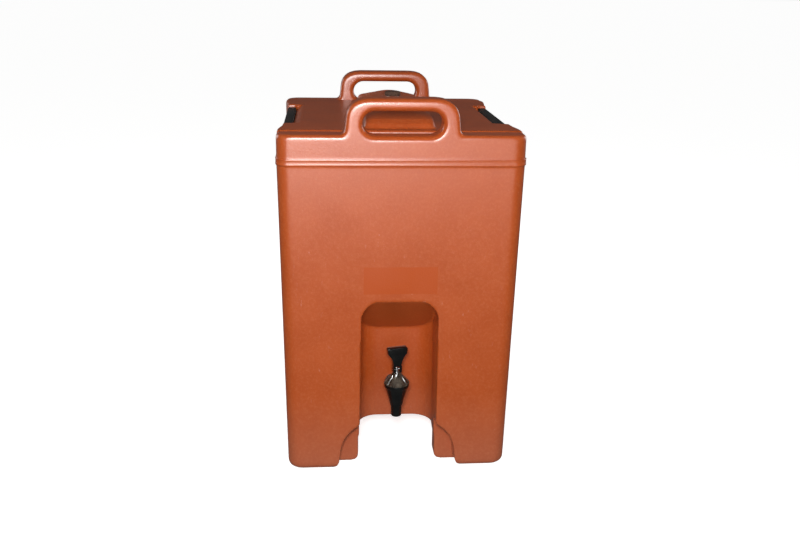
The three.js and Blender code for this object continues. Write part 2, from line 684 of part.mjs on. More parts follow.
/** The plug under the lid, set in by `inset` all over, from its own floor up to a height. */
function plugForm(inset, high) {
  const behind = GASKET_W + PLUG_BEHIND + inset;
  const x = tankHalfW - behind;
  const y = tankHalfD - behind;
  const low = DECK_Z - PLUG_DEPTH + inset;
  const levels = [[low, 4], [low + 4, 0], [high, 0]];
  return loft(levels.map(([z, draw]) => ({
    z, ring: roundedRing(-x + draw, x - draw, -y + draw, y - draw, TANK_R - behind),
  })));
}

/** The lid's underside: a flat pan inside the skin, dished into a plug that reaches into the tank. */
function lidPan() {
  const edge = LID_WALL + GAP;
  const plate = loft([lidLow, panTop].map((z) => ({ z, ring: lidRing(edge) })));
  const notched = cutAll(plate, latchNotch(1, edge), latchNotch(-1, edge));
  const dished = cutAll(joinAll(notched, plugForm(0, panTop - 1)), plugForm(PLUG_WALL, panTop + 5));
  return cutAll(dished, gasketRing(GAP), ventHole(VENT_BORE_R));
}

function gasketRing(grow) {
  const z0 = DECK_Z - GASKET_LOW - grow;
  const z1 = DECK_Z - GASKET_LOW + GASKET_W + grow;
  const ring = (z, inset, r) => ({
    z, ring: roundedRing(-tankHalfW + inset, tankHalfW - inset, -tankHalfD + inset, tankHalfD - inset, r),
  });
  const outset = GASKET_SQUEEZE - grow;
  const reach = GASKET_W + 3 + grow;
  const outer = loft([z0, z1].map((z) => ring(z, outset, TANK_R)));
  const inner = loft([z0 - 1, z1 + 1].map((z) => ring(z, reach, TANK_R - 10)));
  return outer.subtract(inner);
}

const capLow = LID_TOP + HUMP_H + CAP_SEAT;
function ventCap() {
  const s = new THREE.Shape();
  for (let i = 0; i < CAP_GRIPS * 4; i += 1) {
    const r = i % 4 < 2 ? CAP_R : CAP_R - CAP_RIB;
    const a = 2 * Math.PI * i / (CAP_GRIPS * 4);
    if (i === 0) s.moveTo(r * Math.cos(a), r * Math.sin(a));
    else s.lineTo(r * Math.cos(a), r * Math.sin(a));
  }
  s.closePath();
  const top = capLow + CAP_H - 2;
  const knob = alongZ(s, capLow, top);
  const crown = turned([[0, top - 0.5], [CAP_R - 1.2, top - 0.5], [CAP_R - 3.5, top + 1.4], [0, top + 2]]);
  const stem = rod([0, 0, capLow - 24], [0, 0, capLow + 2], VENT_BORE_R - 1.2);
  return joinAll(knob, crown, stem);
}

function ventSeal() {
  const z0 = capLow - GAP - SEAL_THICK;
  const z1 = capLow - GAP;
  return rod([0, 0, z0], [0, 0, z1], CAP_R - 3).subtract(rod([0, 0, z0 - 1], [0, 0, z1 + 1], VENT_BORE_R));
}

// ---------------------------------------------------------------- latches
/** One latch standing closed: a grip bar, a leg and hinge barrels with gaps for the bracket's knuckles. */
function latch(side) {
  const profile = new THREE.Shape();
  const x = (v) => side * v;
  profile.moveTo(x(latchOut - LATCH_WEB), HINGE_Z);
  profile.lineTo(x(latchOut), HINGE_Z);
  profile.lineTo(x(latchOut), LATCH_TOP - LATCH_EDGE_R);
  profile.quadraticCurveTo(x(latchOut), LATCH_TOP, x(latchOut - LATCH_EDGE_R), LATCH_TOP);
  profile.lineTo(x(latchIn + LATCH_GRIP_R), LATCH_TOP);
  profile.quadraticCurveTo(x(latchIn), LATCH_TOP, x(latchIn), LATCH_TOP - LATCH_GRIP_R);
  profile.lineTo(x(latchIn), LATCH_TOP - LATCH_GRIP_H);
  profile.lineTo(x(latchOut - LATCH_WEB), LATCH_TOP - LATCH_ROOT);
  profile.closePath();
  const plate = alongY(profile, -LATCH_HALF, LATCH_HALF, 3);
  const barrel = rod([x(hingeX), -LATCH_HALF, HINGE_Z], [x(hingeX), LATCH_HALF, HINGE_Z], BARREL_R, 16);
  const relief = [1, -1].map((end) => {
    const y0 = end * KNUCKLE_AT - KNUCKLE_HALF - RUN;
    const y1 = end * KNUCKLE_AT + KNUCKLE_HALF + RUN;
    const reach = BARREL_R + RUN + KNUCKLE_ROOM;
    return block(x(hingeX) - BEYOND, y0, HINGE_Z - reach, x(hingeX) + BEYOND, y1, HINGE_Z + reach);
  });
  const reach = LATCH_HALF + 1;
  const bore = rod([x(hingeX), -reach, HINGE_Z], [x(hingeX), reach, HINGE_Z], PIN_R + GAP, 16);
  return cutAll(joinAll(plate, barrel), ...relief, bore);
}

/** The plate screwed into the pocket, with two knuckles for the pin. */
function latchBracket(side) {
  const x = (v) => side * v;
  const xa = x(bracketOut - BRACKET_THICK);
  const xb = x(bracketOut);
  const plate = block(Math.min(xa, xb), -BRACKET_HALF, pocketLow + GAP, Math.max(xa, xb), BRACKET_HALF,
    DECK_Z - BRACKET_BELOW_DECK);
  const knuckles = [1, -1].map((end) => {
    const y0 = end * KNUCKLE_AT - KNUCKLE_HALF;
    const y1 = end * KNUCKLE_AT + KNUCKLE_HALF;
    const round = rod([x(hingeX), y0, HINGE_Z], [x(hingeX), y1, HINGE_Z], BARREL_R, 16);
    const web = block(Math.min(xb - side, x(hingeX)), y0, HINGE_Z - 4, Math.max(xb - side, x(hingeX)), y1,
      HINGE_Z + 4);
    return joinAll(round, web);
  });
  const bore = rod([x(hingeX), -LATCH_HALF, HINGE_Z], [x(hingeX), LATCH_HALF, HINGE_Z], PIN_R + GAP, 16);
  return cutAll(joinAll(plate, ...knuckles), bore, ...screwHoles(SCREW_R + GAP));
}

function latchPin(side) {
  const reach = LATCH_HALF - 2;
  return rod([side * hingeX, -reach, HINGE_Z], [side * hingeX, reach, HINGE_Z], PIN_R, 16);
}

/** A pan-head screw that points along +X, its head resting at the origin. */
function screw() {
  const g = new THREE.LatheGeometry([[0, screwTip - bracketOut], [SCREW_R, screwTip - bracketOut + 2],
    [SCREW_R, GAP], [SCREW_HEAD_R, GAP], [SCREW_HEAD_R - 0.8, 2], [0, 2.4]]
    .map(([r, z]) => new THREE.Vector2(r, z)), 12);
  g.rotateZ(-Math.PI / 2);
  return toGeometry(solid(g));
}

// ---------------------------------------------------------------- tap
function tapBody() {
  const shellShape = turned([[0, TAP_LOW], [SPOUT_R, TAP_LOW], [SPOUT_R + 0.8, TAP_LOW + 19],
    [SPOUT_R + 5, TAP_LOW + 36], [BONNET_R - 1.5, BONNET_Z - 7], [BONNET_R, BONNET_Z], [0, BONNET_Z]]);
  const shank = rod([0, 0, SHANK_Z], [0, tankFrontLow + SHANK_INTO_TANK - tapY, SHANK_Z], SHANK_R);
  const collarY = recessBack - WASHER - GAP - tapY;
  const collar = rod([0, collarY - 5, SHANK_Z], [0, collarY, SHANK_Z], SHANK_R + 9, 6);
  const chamber = turned([[0, SHANK_Z - 8], [12, SHANK_Z - 8], [14, SHANK_Z + 8], [17, BONNET_Z + 5],
    [0, BONNET_Z + 5]]);
  const spoutBore = rod([0, 0, TAP_LOW - 5], [0, 0, SHANK_Z], SPOUT_R - SPOUT_WALL);
  const shankBore = rod([0, 0, SHANK_Z], [0, tankFrontLow + BEYOND - tapY, SHANK_Z], SHANK_R - SHANK_WALL);
  return cutAll(joinAll(shellShape, shank, collar), chamber, spoutBore, shankBore);
}

function tapBonnet() {
  const z0 = BONNET_Z + GAP;
  const cone = turned([[0, z0], [BONNET_R, z0], [BONNET_R, z0 + 3], [BONNET_R - 5, z0 + 9],
    [9.5, BONNET_TOP - 2], [8.5, BONNET_TOP], [0, BONNET_TOP]], 12);
  const inside = turned([[0, z0 - 1], [16, z0 - 1], [14, z0 + 6], [STEM_R + RUN, z0 + 11],
    [STEM_R + RUN, BONNET_TOP + 1], [0, BONNET_TOP + 1]], 12);
  return cone.subtract(inside);
}

function tapStem() {
  const low = SHANK_Z + 5;
  return turned([[0, low], [7, low], [7, low + 3], [STEM_R, low + 5], [STEM_R, leverPinZ + 3.5],
    [0, leverPinZ + 3.5]], 16).subtract(
    rod([-10, 0, leverPinZ], [10, 0, leverPinZ], LEVER_PIN_R + GAP, 12));
}

function seatCup() {
  const z = SHANK_Z - 8 + GAP;
  return turned([[0, z], [9.5, z], [11, z + 3], [11, z + 9], [8.5, z + 12.5], [0, z + 12.5]], 20);
}

/** The lever: a forked foot on the pin, a slim neck and a wide paddle. */
function tapLever() {
  const s = new THREE.Shape();
  const paddleLow = LEVER_TOP - 23;
  s.moveTo(-8, leverPinZ - 6);
  s.lineTo(8, leverPinZ - 6);
  s.quadraticCurveTo(8.4, leverPinZ + 6, 7.8, leverPinZ + 9);
  s.quadraticCurveTo(9, paddleLow + 3, LEVER_HALF - 1, paddleLow + 11);
  s.lineTo(LEVER_HALF, LEVER_TOP - 2);
  s.lineTo(LEVER_HALF - 2, LEVER_TOP);
  s.lineTo(-LEVER_HALF + 2, LEVER_TOP);
  s.lineTo(-LEVER_HALF, LEVER_TOP - 2);
  s.lineTo(-LEVER_HALF + 1, paddleLow + 11);
  s.quadraticCurveTo(-9, paddleLow + 3, -7.8, leverPinZ + 9);
  s.quadraticCurveTo(-8.4, leverPinZ + 6, -8, leverPinZ - 6);
  const blade = alongY(s, -LEVER_THICK / 2, LEVER_THICK / 2, 5);
  const slot = block(-STEM_R - 1.4, -20, leverPinZ - 20, STEM_R + 1.4, 20, leverPinZ + 6);
  const bore = rod([-20, 0, leverPinZ], [20, 0, leverPinZ], LEVER_PIN_R + GAP, 12);
  return cutAll(blade, slot, bore);
}

function leverPin() {
  return rod([-7.8, 0, leverPinZ], [7.8, 0, leverPinZ], LEVER_PIN_R, 12);
}

/** A flat ring round the shank, from one place along the shank to another. */
function shankRing(y0, y1, radius, sides) {
  return rod([0, y0, SHANK_Z], [0, y1, SHANK_Z], radius, sides)
    .subtract(rod([0, y0 - 1, SHANK_Z], [0, y1 + 1, SHANK_Z], SHANK_R + GAP));
}

// ---------------------------------------------------------------- the whole object
const dispenser = new THREE.Group();

function piece(parent, name, shape, material, position = [0, 0, 0]) {
  const mesh = new THREE.Mesh(shape.isBufferGeometry ? shape : toGeometry(shape), material);
  mesh.name = name;
  mesh.position.set(...position);
  parent.add(mesh);
  return mesh;
}

piece(dispenser, 'outer_shell', outerShell(), terracotta);
piece(dispenser, 'inner_liner', innerLiner(), terracotta);
piece(dispenser, 'foam_insulation', foamInsulation(), foamYellow);
piece(dispenser, 'foam_port_plug', foamPortPlug(), blackNylon, [0, PORT_Y, 0]);

const lid = new THREE.Group();
dispenser.add(lid);
piece(lid, 'lid_shell', lidShell(), terracotta);
piece(lid, 'lid_foam', lidFoam(), foamYellow);
piece(lid, 'lid_pan', lidPan(), terracotta);
piece(lid, 'lid_gasket', gasketRing(0), silicone);
piece(lid, 'vent_seal', ventSeal(), silicone);
piece(lid, 'vent_cap', ventCap(), blackNylon);

for (const [side, word] of [[-1, 'left'], [1, 'right']]) {
  piece(dispenser, `latch_${word}`, latch(side), blackNylon);
  piece(dispenser, `latch_bracket_${word}`, latchBracket(side), blackNylon);
  piece(dispenser, `latch_pin_${word}`, latchPin(side), steel);
}
for (const { side, end } of screwPlaces) {
  const name = `bracket_screw_${side < 0 ? 'left' : 'right'}_${end < 0 ? 'front' : 'rear'}`;
  const mesh = piece(dispenser, name, screw(), steel, [side * bracketOut, end * SCREW_AT, screwZ]);
  mesh.rotation.z = side < 0 ? Math.PI : 0;
}

const tap = new THREE.Group();
tap.position.y = tapY;
dispenser.add(tap);
piece(tap, 'tap_body', tapBody(), blackGloss);
piece(tap, 'tap_bonnet', tapBonnet(), blackGloss);
piece(tap, 'tap_seat_cup', seatCup(), silicone);
piece(tap, 'tap_washer_outer', shankRing(TAP_AHEAD - WASHER, TAP_AHEAD - GAP, SHANK_R + 8, 24), rubber);
const insideWall = tankFrontLow - tapY;
piece(tap, 'tap_washer_inner', shankRing(insideWall + GAP, insideWall + WASHER, SHANK_R + 7, 24), silicone);
const lockNut = shankRing(insideWall + WASHER + GAP, insideWall + WASHER + NUT, SHANK_R + 7, 6);
piece(tap, 'tap_lock_nut', lockNut, blackNylon);
const handle = new THREE.Group();
handle.rotation.z = THREE.MathUtils.degToRad(LEVER_TWIST);
tap.add(handle);
piece(handle, 'tap_stem', tapStem(), steel);
piece(handle, 'tap_lever', tapLever(), blackGloss);
piece(handle, 'tap_lever_pin', leverPin(), steel);

export default dispenser;
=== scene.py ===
"""Finished look of an insulated drinks dispenser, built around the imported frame.

The moulded skins are softened from the frame's own solids, and the small hardware is modelled piece by piece.
Metres, +Z up; the tap faces -Y.
"""
import logging
import math
from dataclasses import dataclass, field
from enum import Enum
from typing import Callable, Optional, Sequence, Union

import bmesh
import bpy
from mathutils import Matrix, Vector


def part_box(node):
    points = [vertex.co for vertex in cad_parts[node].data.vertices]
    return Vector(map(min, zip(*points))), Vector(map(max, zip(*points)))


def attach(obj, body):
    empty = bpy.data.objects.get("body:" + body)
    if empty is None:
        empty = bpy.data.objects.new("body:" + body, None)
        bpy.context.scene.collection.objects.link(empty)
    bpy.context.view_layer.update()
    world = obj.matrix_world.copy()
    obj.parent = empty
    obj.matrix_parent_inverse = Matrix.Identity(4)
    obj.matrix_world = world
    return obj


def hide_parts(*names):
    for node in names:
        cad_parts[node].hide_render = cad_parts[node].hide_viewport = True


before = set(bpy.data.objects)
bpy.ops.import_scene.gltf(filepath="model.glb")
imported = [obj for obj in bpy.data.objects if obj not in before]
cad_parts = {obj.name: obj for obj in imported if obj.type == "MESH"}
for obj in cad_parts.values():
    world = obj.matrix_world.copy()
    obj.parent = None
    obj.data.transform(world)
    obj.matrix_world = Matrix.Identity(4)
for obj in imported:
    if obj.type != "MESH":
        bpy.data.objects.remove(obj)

log = logging.getLogger("dispenser")
MM = 0.001
Point = tuple[float, float, float]
Colour = Union[str, bpy.types.NodeSocket]


class Side(Enum):
    """The two long sides of the body, seen from the tap."""

    LEFT = -1
    RIGHT = 1


class Solver(Enum):
    """How two solids are joined or cut."""

    UNION = "UNION"
    DIFFERENCE = "DIFFERENCE"


# ---------------------------------------------------------------- colour and nodes
def linear(code: str) -> tuple[float, float, float, float]:
    """Turn an sRGB hex code into linear colour.

    Args:
        code: six hex digits, such as "BC5D30".

    Returns:
        Red, green and blue as linear values, and full alpha.
    """
    values = [int(code[i:i + 2], 16) / 255 for i in (0, 2, 4)]
    r, g, b = [v / 12.92 if v <= 0.04045 else ((v + 0.055) / 1.055) ** 2.4 for v in values]
    return (r, g, b, 1.0)


def add_node(tree: bpy.types.NodeTree, kind: str, settings: Optional[dict] = None,
             **inputs: object) -> bpy.types.Node:
    """Add a node, set its properties and fill its inputs.

    Args:
        tree: the node tree that gets it.
        kind: the node's type name.
        settings: properties of the node itself.
        inputs: one value or one socket to link for each input; "_" stands for a space.

    Returns:
        The new node.
    """
    node = tree.nodes.new(kind)
    for key, value in (settings or {}).items():
        setattr(node, key, value)
    for key, value in inputs.items():
        name = key.replace("_", " ").strip()
        socket = node.inputs[int(name)] if name.isdigit() else node.inputs[name]
        if isinstance(value, bpy.types.NodeSocket):
            tree.links.new(value, socket)
        else:
            socket.default_value = value
    return node


def ramp(tree: bpy.types.NodeTree, factor: bpy.types.NodeSocket,
         stops: Sequence[tuple[float, float]]) -> bpy.types.NodeSocket:
    """Map a value through grey stops.

    Args:
        tree: the node tree.
        factor: the socket that is read.
        stops: places and the grey there.

    Returns:
        The socket with the mapped value.
    """
    node = add_node(tree, "ShaderNodeValToRGB", None, Fac=factor)
    elements = node.color_ramp.elements
    while len(elements) < len(stops):
        elements.new(0.5)
    for element, (place, grey) in zip(elements, stops):
        element.position = place
        element.color = (grey, grey, grey, 1)
    return node.outputs["Color"]


def blank_material(name: str) -> bpy.types.Material:
    """Make a material with an empty node tree."""
    mat = bpy.data.materials.new(name)
    mat.use_nodes = True
    mat.node_tree.nodes.clear()
    return mat


def noise(tree: bpy.types.NodeTree, at: bpy.types.NodeSocket, size_mm: float,
          **inputs: float) -> bpy.types.NodeSocket:
    """Add a noise pattern.

    Args:
        tree: the node tree.
        at: the socket with the object's coordinates.
        size_mm: the real size of its marks.
        inputs: further inputs, such as Detail.

    Returns:
        The socket with its value.
    """
    node = add_node(tree, "ShaderNodeTexNoise", None, Vector=at, Scale=1000 / size_mm, **inputs)
    return node.outputs["Fac"]


def calculate(tree: bpy.types.NodeTree, operation: str, *values: object) -> bpy.types.NodeSocket:
    """Add a calculation on sockets or plain values.

    Args:
        tree: the node tree.
        operation: its name, such as "MULTIPLY".
        values: its inputs in order.

    Returns:
        The socket with the result.
    """
    inputs = {str(index): value for index, value in enumerate(values)}
    return add_node(tree, "ShaderNodeMath", {"operation": operation}, **inputs).outputs[0]


def remap(tree: bpy.types.NodeTree, value: bpy.types.NodeSocket, source: tuple[float, float],
          target: tuple[float, float]) -> bpy.types.NodeSocket:
    """Stretch one range of a value to another.

    Args:
        tree: the node tree.
        value: the socket that is read.
        source: the range it has.
        target: the range it gets.

    Returns:
        The socket with the new value.
    """
    node = add_node(tree, "ShaderNodeMapRange", None, Value=value)
    for name, limit in zip(("From Min", "From Max", "To Min", "To Max"), (*source, *target)):
        node.inputs[name].default_value = limit
    return node.outputs["Result"]


def layered(tree: bpy.types.NodeTree, factor: bpy.types.NodeSocket, under: Colour,
            over: Colour) -> bpy.types.NodeSocket:
    """Lay one colour over another.

    Args:
        tree: the node tree.
        factor: the socket that says how much of the upper colour shows.
        under: the lower colour, as a hex code or a socket.
        over: the upper colour.

    Returns:
        The socket with the colour.
    """
    node = add_node(tree, "ShaderNodeMix", {"data_type": "RGBA"}, Factor=factor)
    for index, colour in ((6, under), (7, over)):
        if isinstance(colour, str):
            node.inputs[index].default_value = linear(colour)
        else:
            tree.links.new(colour, node.inputs[index])
    return node.outputs[2]


# ---------------------------------------------------------------- finishes
@dataclass(frozen=True)
class Polyethylene:
    """Rotationally moulded linear polyethylene, solid-coloured.

    The mould's blasted face leaves an even stipple, so highlights are broad and soft; use leaves a faint
    chalky bloom and pale scuffs.
    """

    name: str
    colour: str = "BC531D"
    bloom: str = "CA7043"
    deep: str = "B24C1A"
    roughness: float = 0.30
    ior: float = 1.51
    stipple_mm: float = 2.2        # real grain about 1 mm, drawn coarser so that it shows
    stipple_depth: float = 0.22
    mottle_mm: float = 55
    speck_mm: float = 5
    scuff_mm: float = 7
    worn_area_mm: float = 1000 / 9
    chalkiness: float = 0.35
    scuffs: float = 0.5
    scuff_colour: str = "E9C9B8"
    label_ghost: bool = False
    # how far the skin is mixed towards a pale tone near the ground, from what height, and that tone
    dust: float = 0.14
    dust_top_mm: float = 150
    dust_colour: str = "C8A898"
    patch: str = "B84B0A"
    patch_half_mm: float = 64
    patch_middle_mm: float = 366.5
    patch_rise_mm: float = 24.5
    patch_front_mm: float = -200

    def build(self) -> bpy.types.Material:
        """Make the material."""
        mat = blank_material(self.name)
        tree = mat.node_tree
        at = add_node(tree, "ShaderNodeTexCoord").outputs["Object"]
        mottle = noise(tree, at, self.mottle_mm, Detail=5.0, Roughness=0.6)
        colour = self.scuffed(tree, at, self.bloomed(tree, at, mottle))
        if self.label_ghost:
            colour = self.dusty_feet(tree, at, self.clean_patch(tree, at, colour))
        rough = remap(tree, mottle, (0.2, 0.8), (self.roughness - 0.02, self.roughness + 0.03))
        grain = noise(tree, at, self.stipple_mm, Detail=2.0, Roughness=0.5)
        bump = add_node(tree, "ShaderNodeBump", None, Height=grain, Strength=self.stipple_depth,
                        Distance=0.8 * MM)
        shader = add_node(tree, "ShaderNodeBsdfPrincipled", None, Base_Color=colour, Roughness=rough,
                          Normal=bump.outputs["Normal"], IOR=self.ior)
        add_node(tree, "ShaderNodeOutputMaterial", None, Surface=shader.outputs[0])
        return mat

    def bloomed(self, tree: bpy.types.NodeTree, at: bpy.types.NodeSocket,
                mottle: bpy.types.NodeSocket) -> bpy.types.NodeSocket:
        """Mix the plastic's two tones and speck them with bloom.

        Args:
            tree: the node tree.
            at: the socket with the object's coordinates.
            mottle: the broad pattern that mixes the tones.

        Returns:
            The socket with the colour.
        """
        tones = layered(tree, ramp(tree, mottle, [(0.25, 0.0), (0.75, 1.0)]), self.deep, self.colour)
        speck = noise(tree, at, self.speck_mm, Detail=3.0, Roughness=0.7)
        chalk = calculate(tree, "MULTIPLY", ramp(tree, speck, [(0.45, 0.0), (0.75, 1.0)]), self.chalkiness)
        return layered(tree, chalk, tones, self.bloom)

    def scuffed(self, tree: bpy.types.NodeTree, at: bpy.types.NodeSocket,
                colour: bpy.types.NodeSocket) -> bpy.types.NodeSocket:
        """Add short pale scuffs in worn areas.

        Args:
            tree: the node tree.
            at: the socket with the object's coordinates.
            colour: the colour under the scuffs.

        Returns:
            The socket with the colour.
        """
        stretch = add_node(tree, "ShaderNodeMapping", None, Vector=at, Scale=(1.0, 1.0, 0.35))
        mark = noise(tree, stretch.outputs[0], self.scuff_mm, Detail=4.0, Roughness=0.75)
        area = noise(tree, at, self.worn_area_mm, Detail=2.0)
        worn = calculate(tree, "MULTIPLY", ramp(tree, mark, [(0.64, 0.0), (0.78, 1.0)]),
                         ramp(tree, area, [(0.42, 0.0), (0.72, 1.0)]))
        return layered(tree, calculate(tree, "MULTIPLY", worn, self.scuffs), colour, self.scuff_colour)

    def dusty_feet(self, tree: bpy.types.NodeTree, at: bpy.types.NodeSocket,
                   colour: bpy.types.NodeSocket) -> bpy.types.NodeSocket:
        """Make the colour paler towards the ground, the more the lower it is.

        Args:
            tree: the node tree.
            at: the socket with the object's coordinates.
            colour: the colour that is made paler.

        Returns:
            The socket with the colour.
        """
        spot = add_node(tree, "ShaderNodeSeparateXYZ", None, Vector=at)
        # mix towards the pale tone, from nothing at the top height to the full amount at the ground
        low = remap(tree, spot.outputs["Z"], (self.dust_top_mm * MM, 0.0), (0.0, self.dust))
        return layered(tree, low, colour, self.dust_colour)

    def clean_patch(self, tree: bpy.types.NodeTree, at: bpy.types.NodeSocket,
                    colour: bpy.types.NodeSocket) -> bpy.types.NodeSocket:
        """Lay a deeper coloured rectangle on the front face, where a label has kept the skin fresh.

        Args:
            tree: the node tree.
            at: the socket with the object's coordinates.
            colour: the colour round the patch.

        Returns:
            The socket with the colour.
        """
        spot = add_node(tree, "ShaderNodeSeparateXYZ", None, Vector=at)
        across = calculate(tree, "COMPARE", spot.outputs["X"], 0.0, self.patch_half_mm * MM)
        upright = calculate(tree, "COMPARE", spot.outputs["Z"], self.patch_middle_mm * MM,
                            self.patch_rise_mm * MM)
        front = calculate(tree, "LESS_THAN", spot.outputs["Y"], self.patch_front_mm * MM)
        inside = calculate(tree, "MULTIPLY", calculate(tree, "MULTIPLY", across, upright), front)
        return layered(tree, inside, colour, self.patch)


@dataclass(frozen=True)
class Plastic:
    """Injection-moulded plastic or rubber with a fine grain."""

    name: str
    colour: str
    worn: str
    roughness: float
    ior: float = 1.53
    tone_mm: float = 1000 / 60
    grain_mm: float = 1.6
    grain_depth: float = 0.1
    coat: float = 0.0
    level: float = 0.5

    def build(self) -> bpy.types.Material:
        """Make the material."""
        mat = blank_material(self.name)
        tree = mat.node_tree
        at = add_node(tree, "ShaderNodeTexCoord").outputs["Object"]
        tone = noise(tree, at, self.tone_mm, Detail=4.0, Roughness=0.65)
        colour = layered(tree, ramp(tree, tone, [(0.4, 0), (0.75, 1)]), self.colour, self.worn)
        rough = remap(tree, tone, (0.3, 0.7), (max(0.02, self.roughness - 0.05), self.roughness + 0.08))
        grain = noise(tree, at, self.grain_mm, Detail=2.0)
        bump = add_node(tree, "ShaderNodeBump", None, Height=grain, Strength=self.grain_depth,
                        Distance=0.4 * MM)
        shader = add_node(tree, "ShaderNodeBsdfPrincipled", None, Base_Color=colour, Roughness=rough,
                          Normal=bump.outputs["Normal"], IOR=self.ior)
        shader.inputs["Specular IOR Level"].default_value = self.level
        shader.inputs["Coat Weight"].default_value = self.coat
        shader.inputs["Coat Roughness"].default_value = 0.08
        add_node(tree, "ShaderNodeOutputMaterial", None, Surface=shader.outputs[0])
        return mat


@dataclass(frozen=True)
class Steel:
    """Drawn and polished stainless steel, with fine marks along the wire."""

    name: str
    colour: str = "C9CACC"
    roughness: float = 0.22
    mark_mm: float = 1000 / 900

    def build(self) -> bpy.types.Material:
        """Make the material."""
        mat = blank_material(self.name)
        tree = mat.node_tree
        at = add_node(tree, "ShaderNodeTexCoord").outputs["Object"]
        fine = noise(tree, at, self.mark_mm, Detail=3.0)
        rough = remap(tree, fine, (0.0, 1.0), (self.roughness - 0.08, self.roughness + 0.14))
        bump = add_node(tree, "ShaderNodeBump", None, Height=fine, Strength=0.05, Distance=0.2 * MM)
        shader = add_node(tree, "ShaderNodeBsdfPrincipled", None, Base_Color=linear(self.colour),
                          Metallic=1.0, Roughness=rough, Normal=bump.outputs["Normal"])
        add_node(tree, "ShaderNodeOutputMaterial", None, Surface=shader.outputs[0])
        return mat


# ---------------------------------------------------------------- modelling by hand tools
def only(*objs: bpy.types.Object) -> None:
    """Select these objects alone; the first becomes active."""
    bpy.ops.object.select_all(action="DESELECT")
    for obj in objs:
        obj.select_set(True)
    bpy.context.view_layer.objects.active = objs[0]


def edit(obj: bpy.types.Object, work: Callable[[], None]) -> None:
    """Open an object in edit mode for some work and close it again.

    Args:
        obj: the object.
        work: what is done in edit mode.
    """
    only(obj)
    bpy.ops.object.mode_set(mode="EDIT")
    bpy.ops.mesh.select_mode(type="VERT")
    work()
    bpy.ops.object.mode_set(mode="OBJECT")


def pick_faces(test: Callable[[Vector, Vector], bool]) -> None:
    """In edit mode, select only some faces.

    Args:
        test: takes a face's centre and normal, and says whether it is picked.
    """
    bpy.ops.mesh.select_all(action="DESELECT")
    bpy.ops.mesh.select_mode(type="FACE")
    mesh = bpy.context.object.data
    bm = bmesh.from_edit_mesh(mesh)
    for face in bm.faces:
        face.select_set(test(face.calc_center_median(), face.normal))
    bmesh.update_edit_mesh(mesh)


def pick_edges(test: Callable[[Vector, Vector], bool]) -> None:
    """In edit mode, select only some edges.

    Args:
        test: takes an edge's two ends, and says whether it is picked.
    """
    bpy.ops.mesh.select_all(action="DESELECT")
    bpy.ops.mesh.select_mode(type="EDGE")
    mesh = bpy.context.object.data
    bm = bmesh.from_edit_mesh(mesh)
    for edge in bm.edges:
        edge.select_set(test(edge.verts[0].co, edge.verts[1].co))
    bmesh.update_edit_mesh(mesh)


def pick_verts(test: Callable[[Vector], bool]) -> None:
    """In edit mode, select only some points.

    Args:
        test: takes a point's place, and says whether it is picked.
    """
    bpy.ops.mesh.select_all(action="DESELECT")
    bpy.ops.mesh.select_mode(type="VERT")
    mesh = bpy.context.object.data
    bm = bmesh.from_edit_mesh(mesh)
    for vert in bm.verts:
        vert.select_set(test(vert.co))
    bmesh.update_edit_mesh(mesh)


def fix_place(obj: bpy.types.Object) -> bpy.types.Object:
    """Move the object's place into its mesh, so that it sits at the origin."""
    only(obj)
    bpy.ops.object.transform_apply(location=True, rotation=True, scale=True)
    return obj


def modify(obj: bpy.types.Object, kind: str, **settings: object) -> bpy.types.Object:
    """Add one modifier and apply it.

    Args:
        obj: the object.
        kind: the modifier's type name.
        settings: its properties.

    Returns:
        The same object.
    """
    only(obj)
    mod = obj.modifiers.new(kind.lower(), kind)
    for key, value in settings.items():
        setattr(mod, key, value)
    bpy.ops.object.modifier_apply(modifier=mod.name)
    return obj


def combine(obj: bpy.types.Object, other: bpy.types.Object, how: Solver) -> bpy.types.Object:
    """Join another solid to this one or cut it away, and remove the other."""
    modify(obj, "BOOLEAN", operation=how.value, solver="MANIFOLD", object=other)
    bpy.data.objects.remove(other)
    return obj


def creased(obj: bpy.types.Object, degrees: float) -> bpy.types.Object:
    """Shade a piece smooth, except at edges sharper than an angle."""
    only(obj)
    bpy.ops.object.shade_smooth_by_angle(angle=math.radians(degrees))
    return obj


def soften_edges(obj: bpy.types.Object, width_mm: float, segments: int = 3,
                 angle: float = 32) -> bpy.types.Object:
    """Round every sharp edge, and shade the rest smooth.

    Args:
        obj: the piece.
        width_mm: how wide the rounding is.
        segments: faces across the rounding.
        angle: the sharpness, in degrees, from which an edge is rounded.

    Returns:
        The same object.
    """
    modify(obj, "BEVEL", width=width_mm * MM, segments=segments, limit_method="ANGLE",
           angle_limit=math.radians(angle), use_clamp_overlap=True, harden_normals=False)
    return creased(obj, 40)


def block(name: str, low: Point, high: Point) -> bpy.types.Object:
    """Add a box between two corners, ready to be shaped or to cut with.

    Args:
        name: the piece's name.
        low: its lowest corner, in millimetres.
        high: its highest corner.

    Returns:
        The new object.
    """
    middle = [(a + b) / 2 * MM for a, b in zip(low, high)]
    bpy.ops.object.select_all(action="DESELECT")
    bpy.ops.mesh.primitive_cube_add(size=1, location=middle)
    obj = bpy.context.object
    obj.name = name
    obj.data.name = name
    obj.scale = [(b - a) * MM for a, b in zip(low, high)]
    return fix_place(obj)


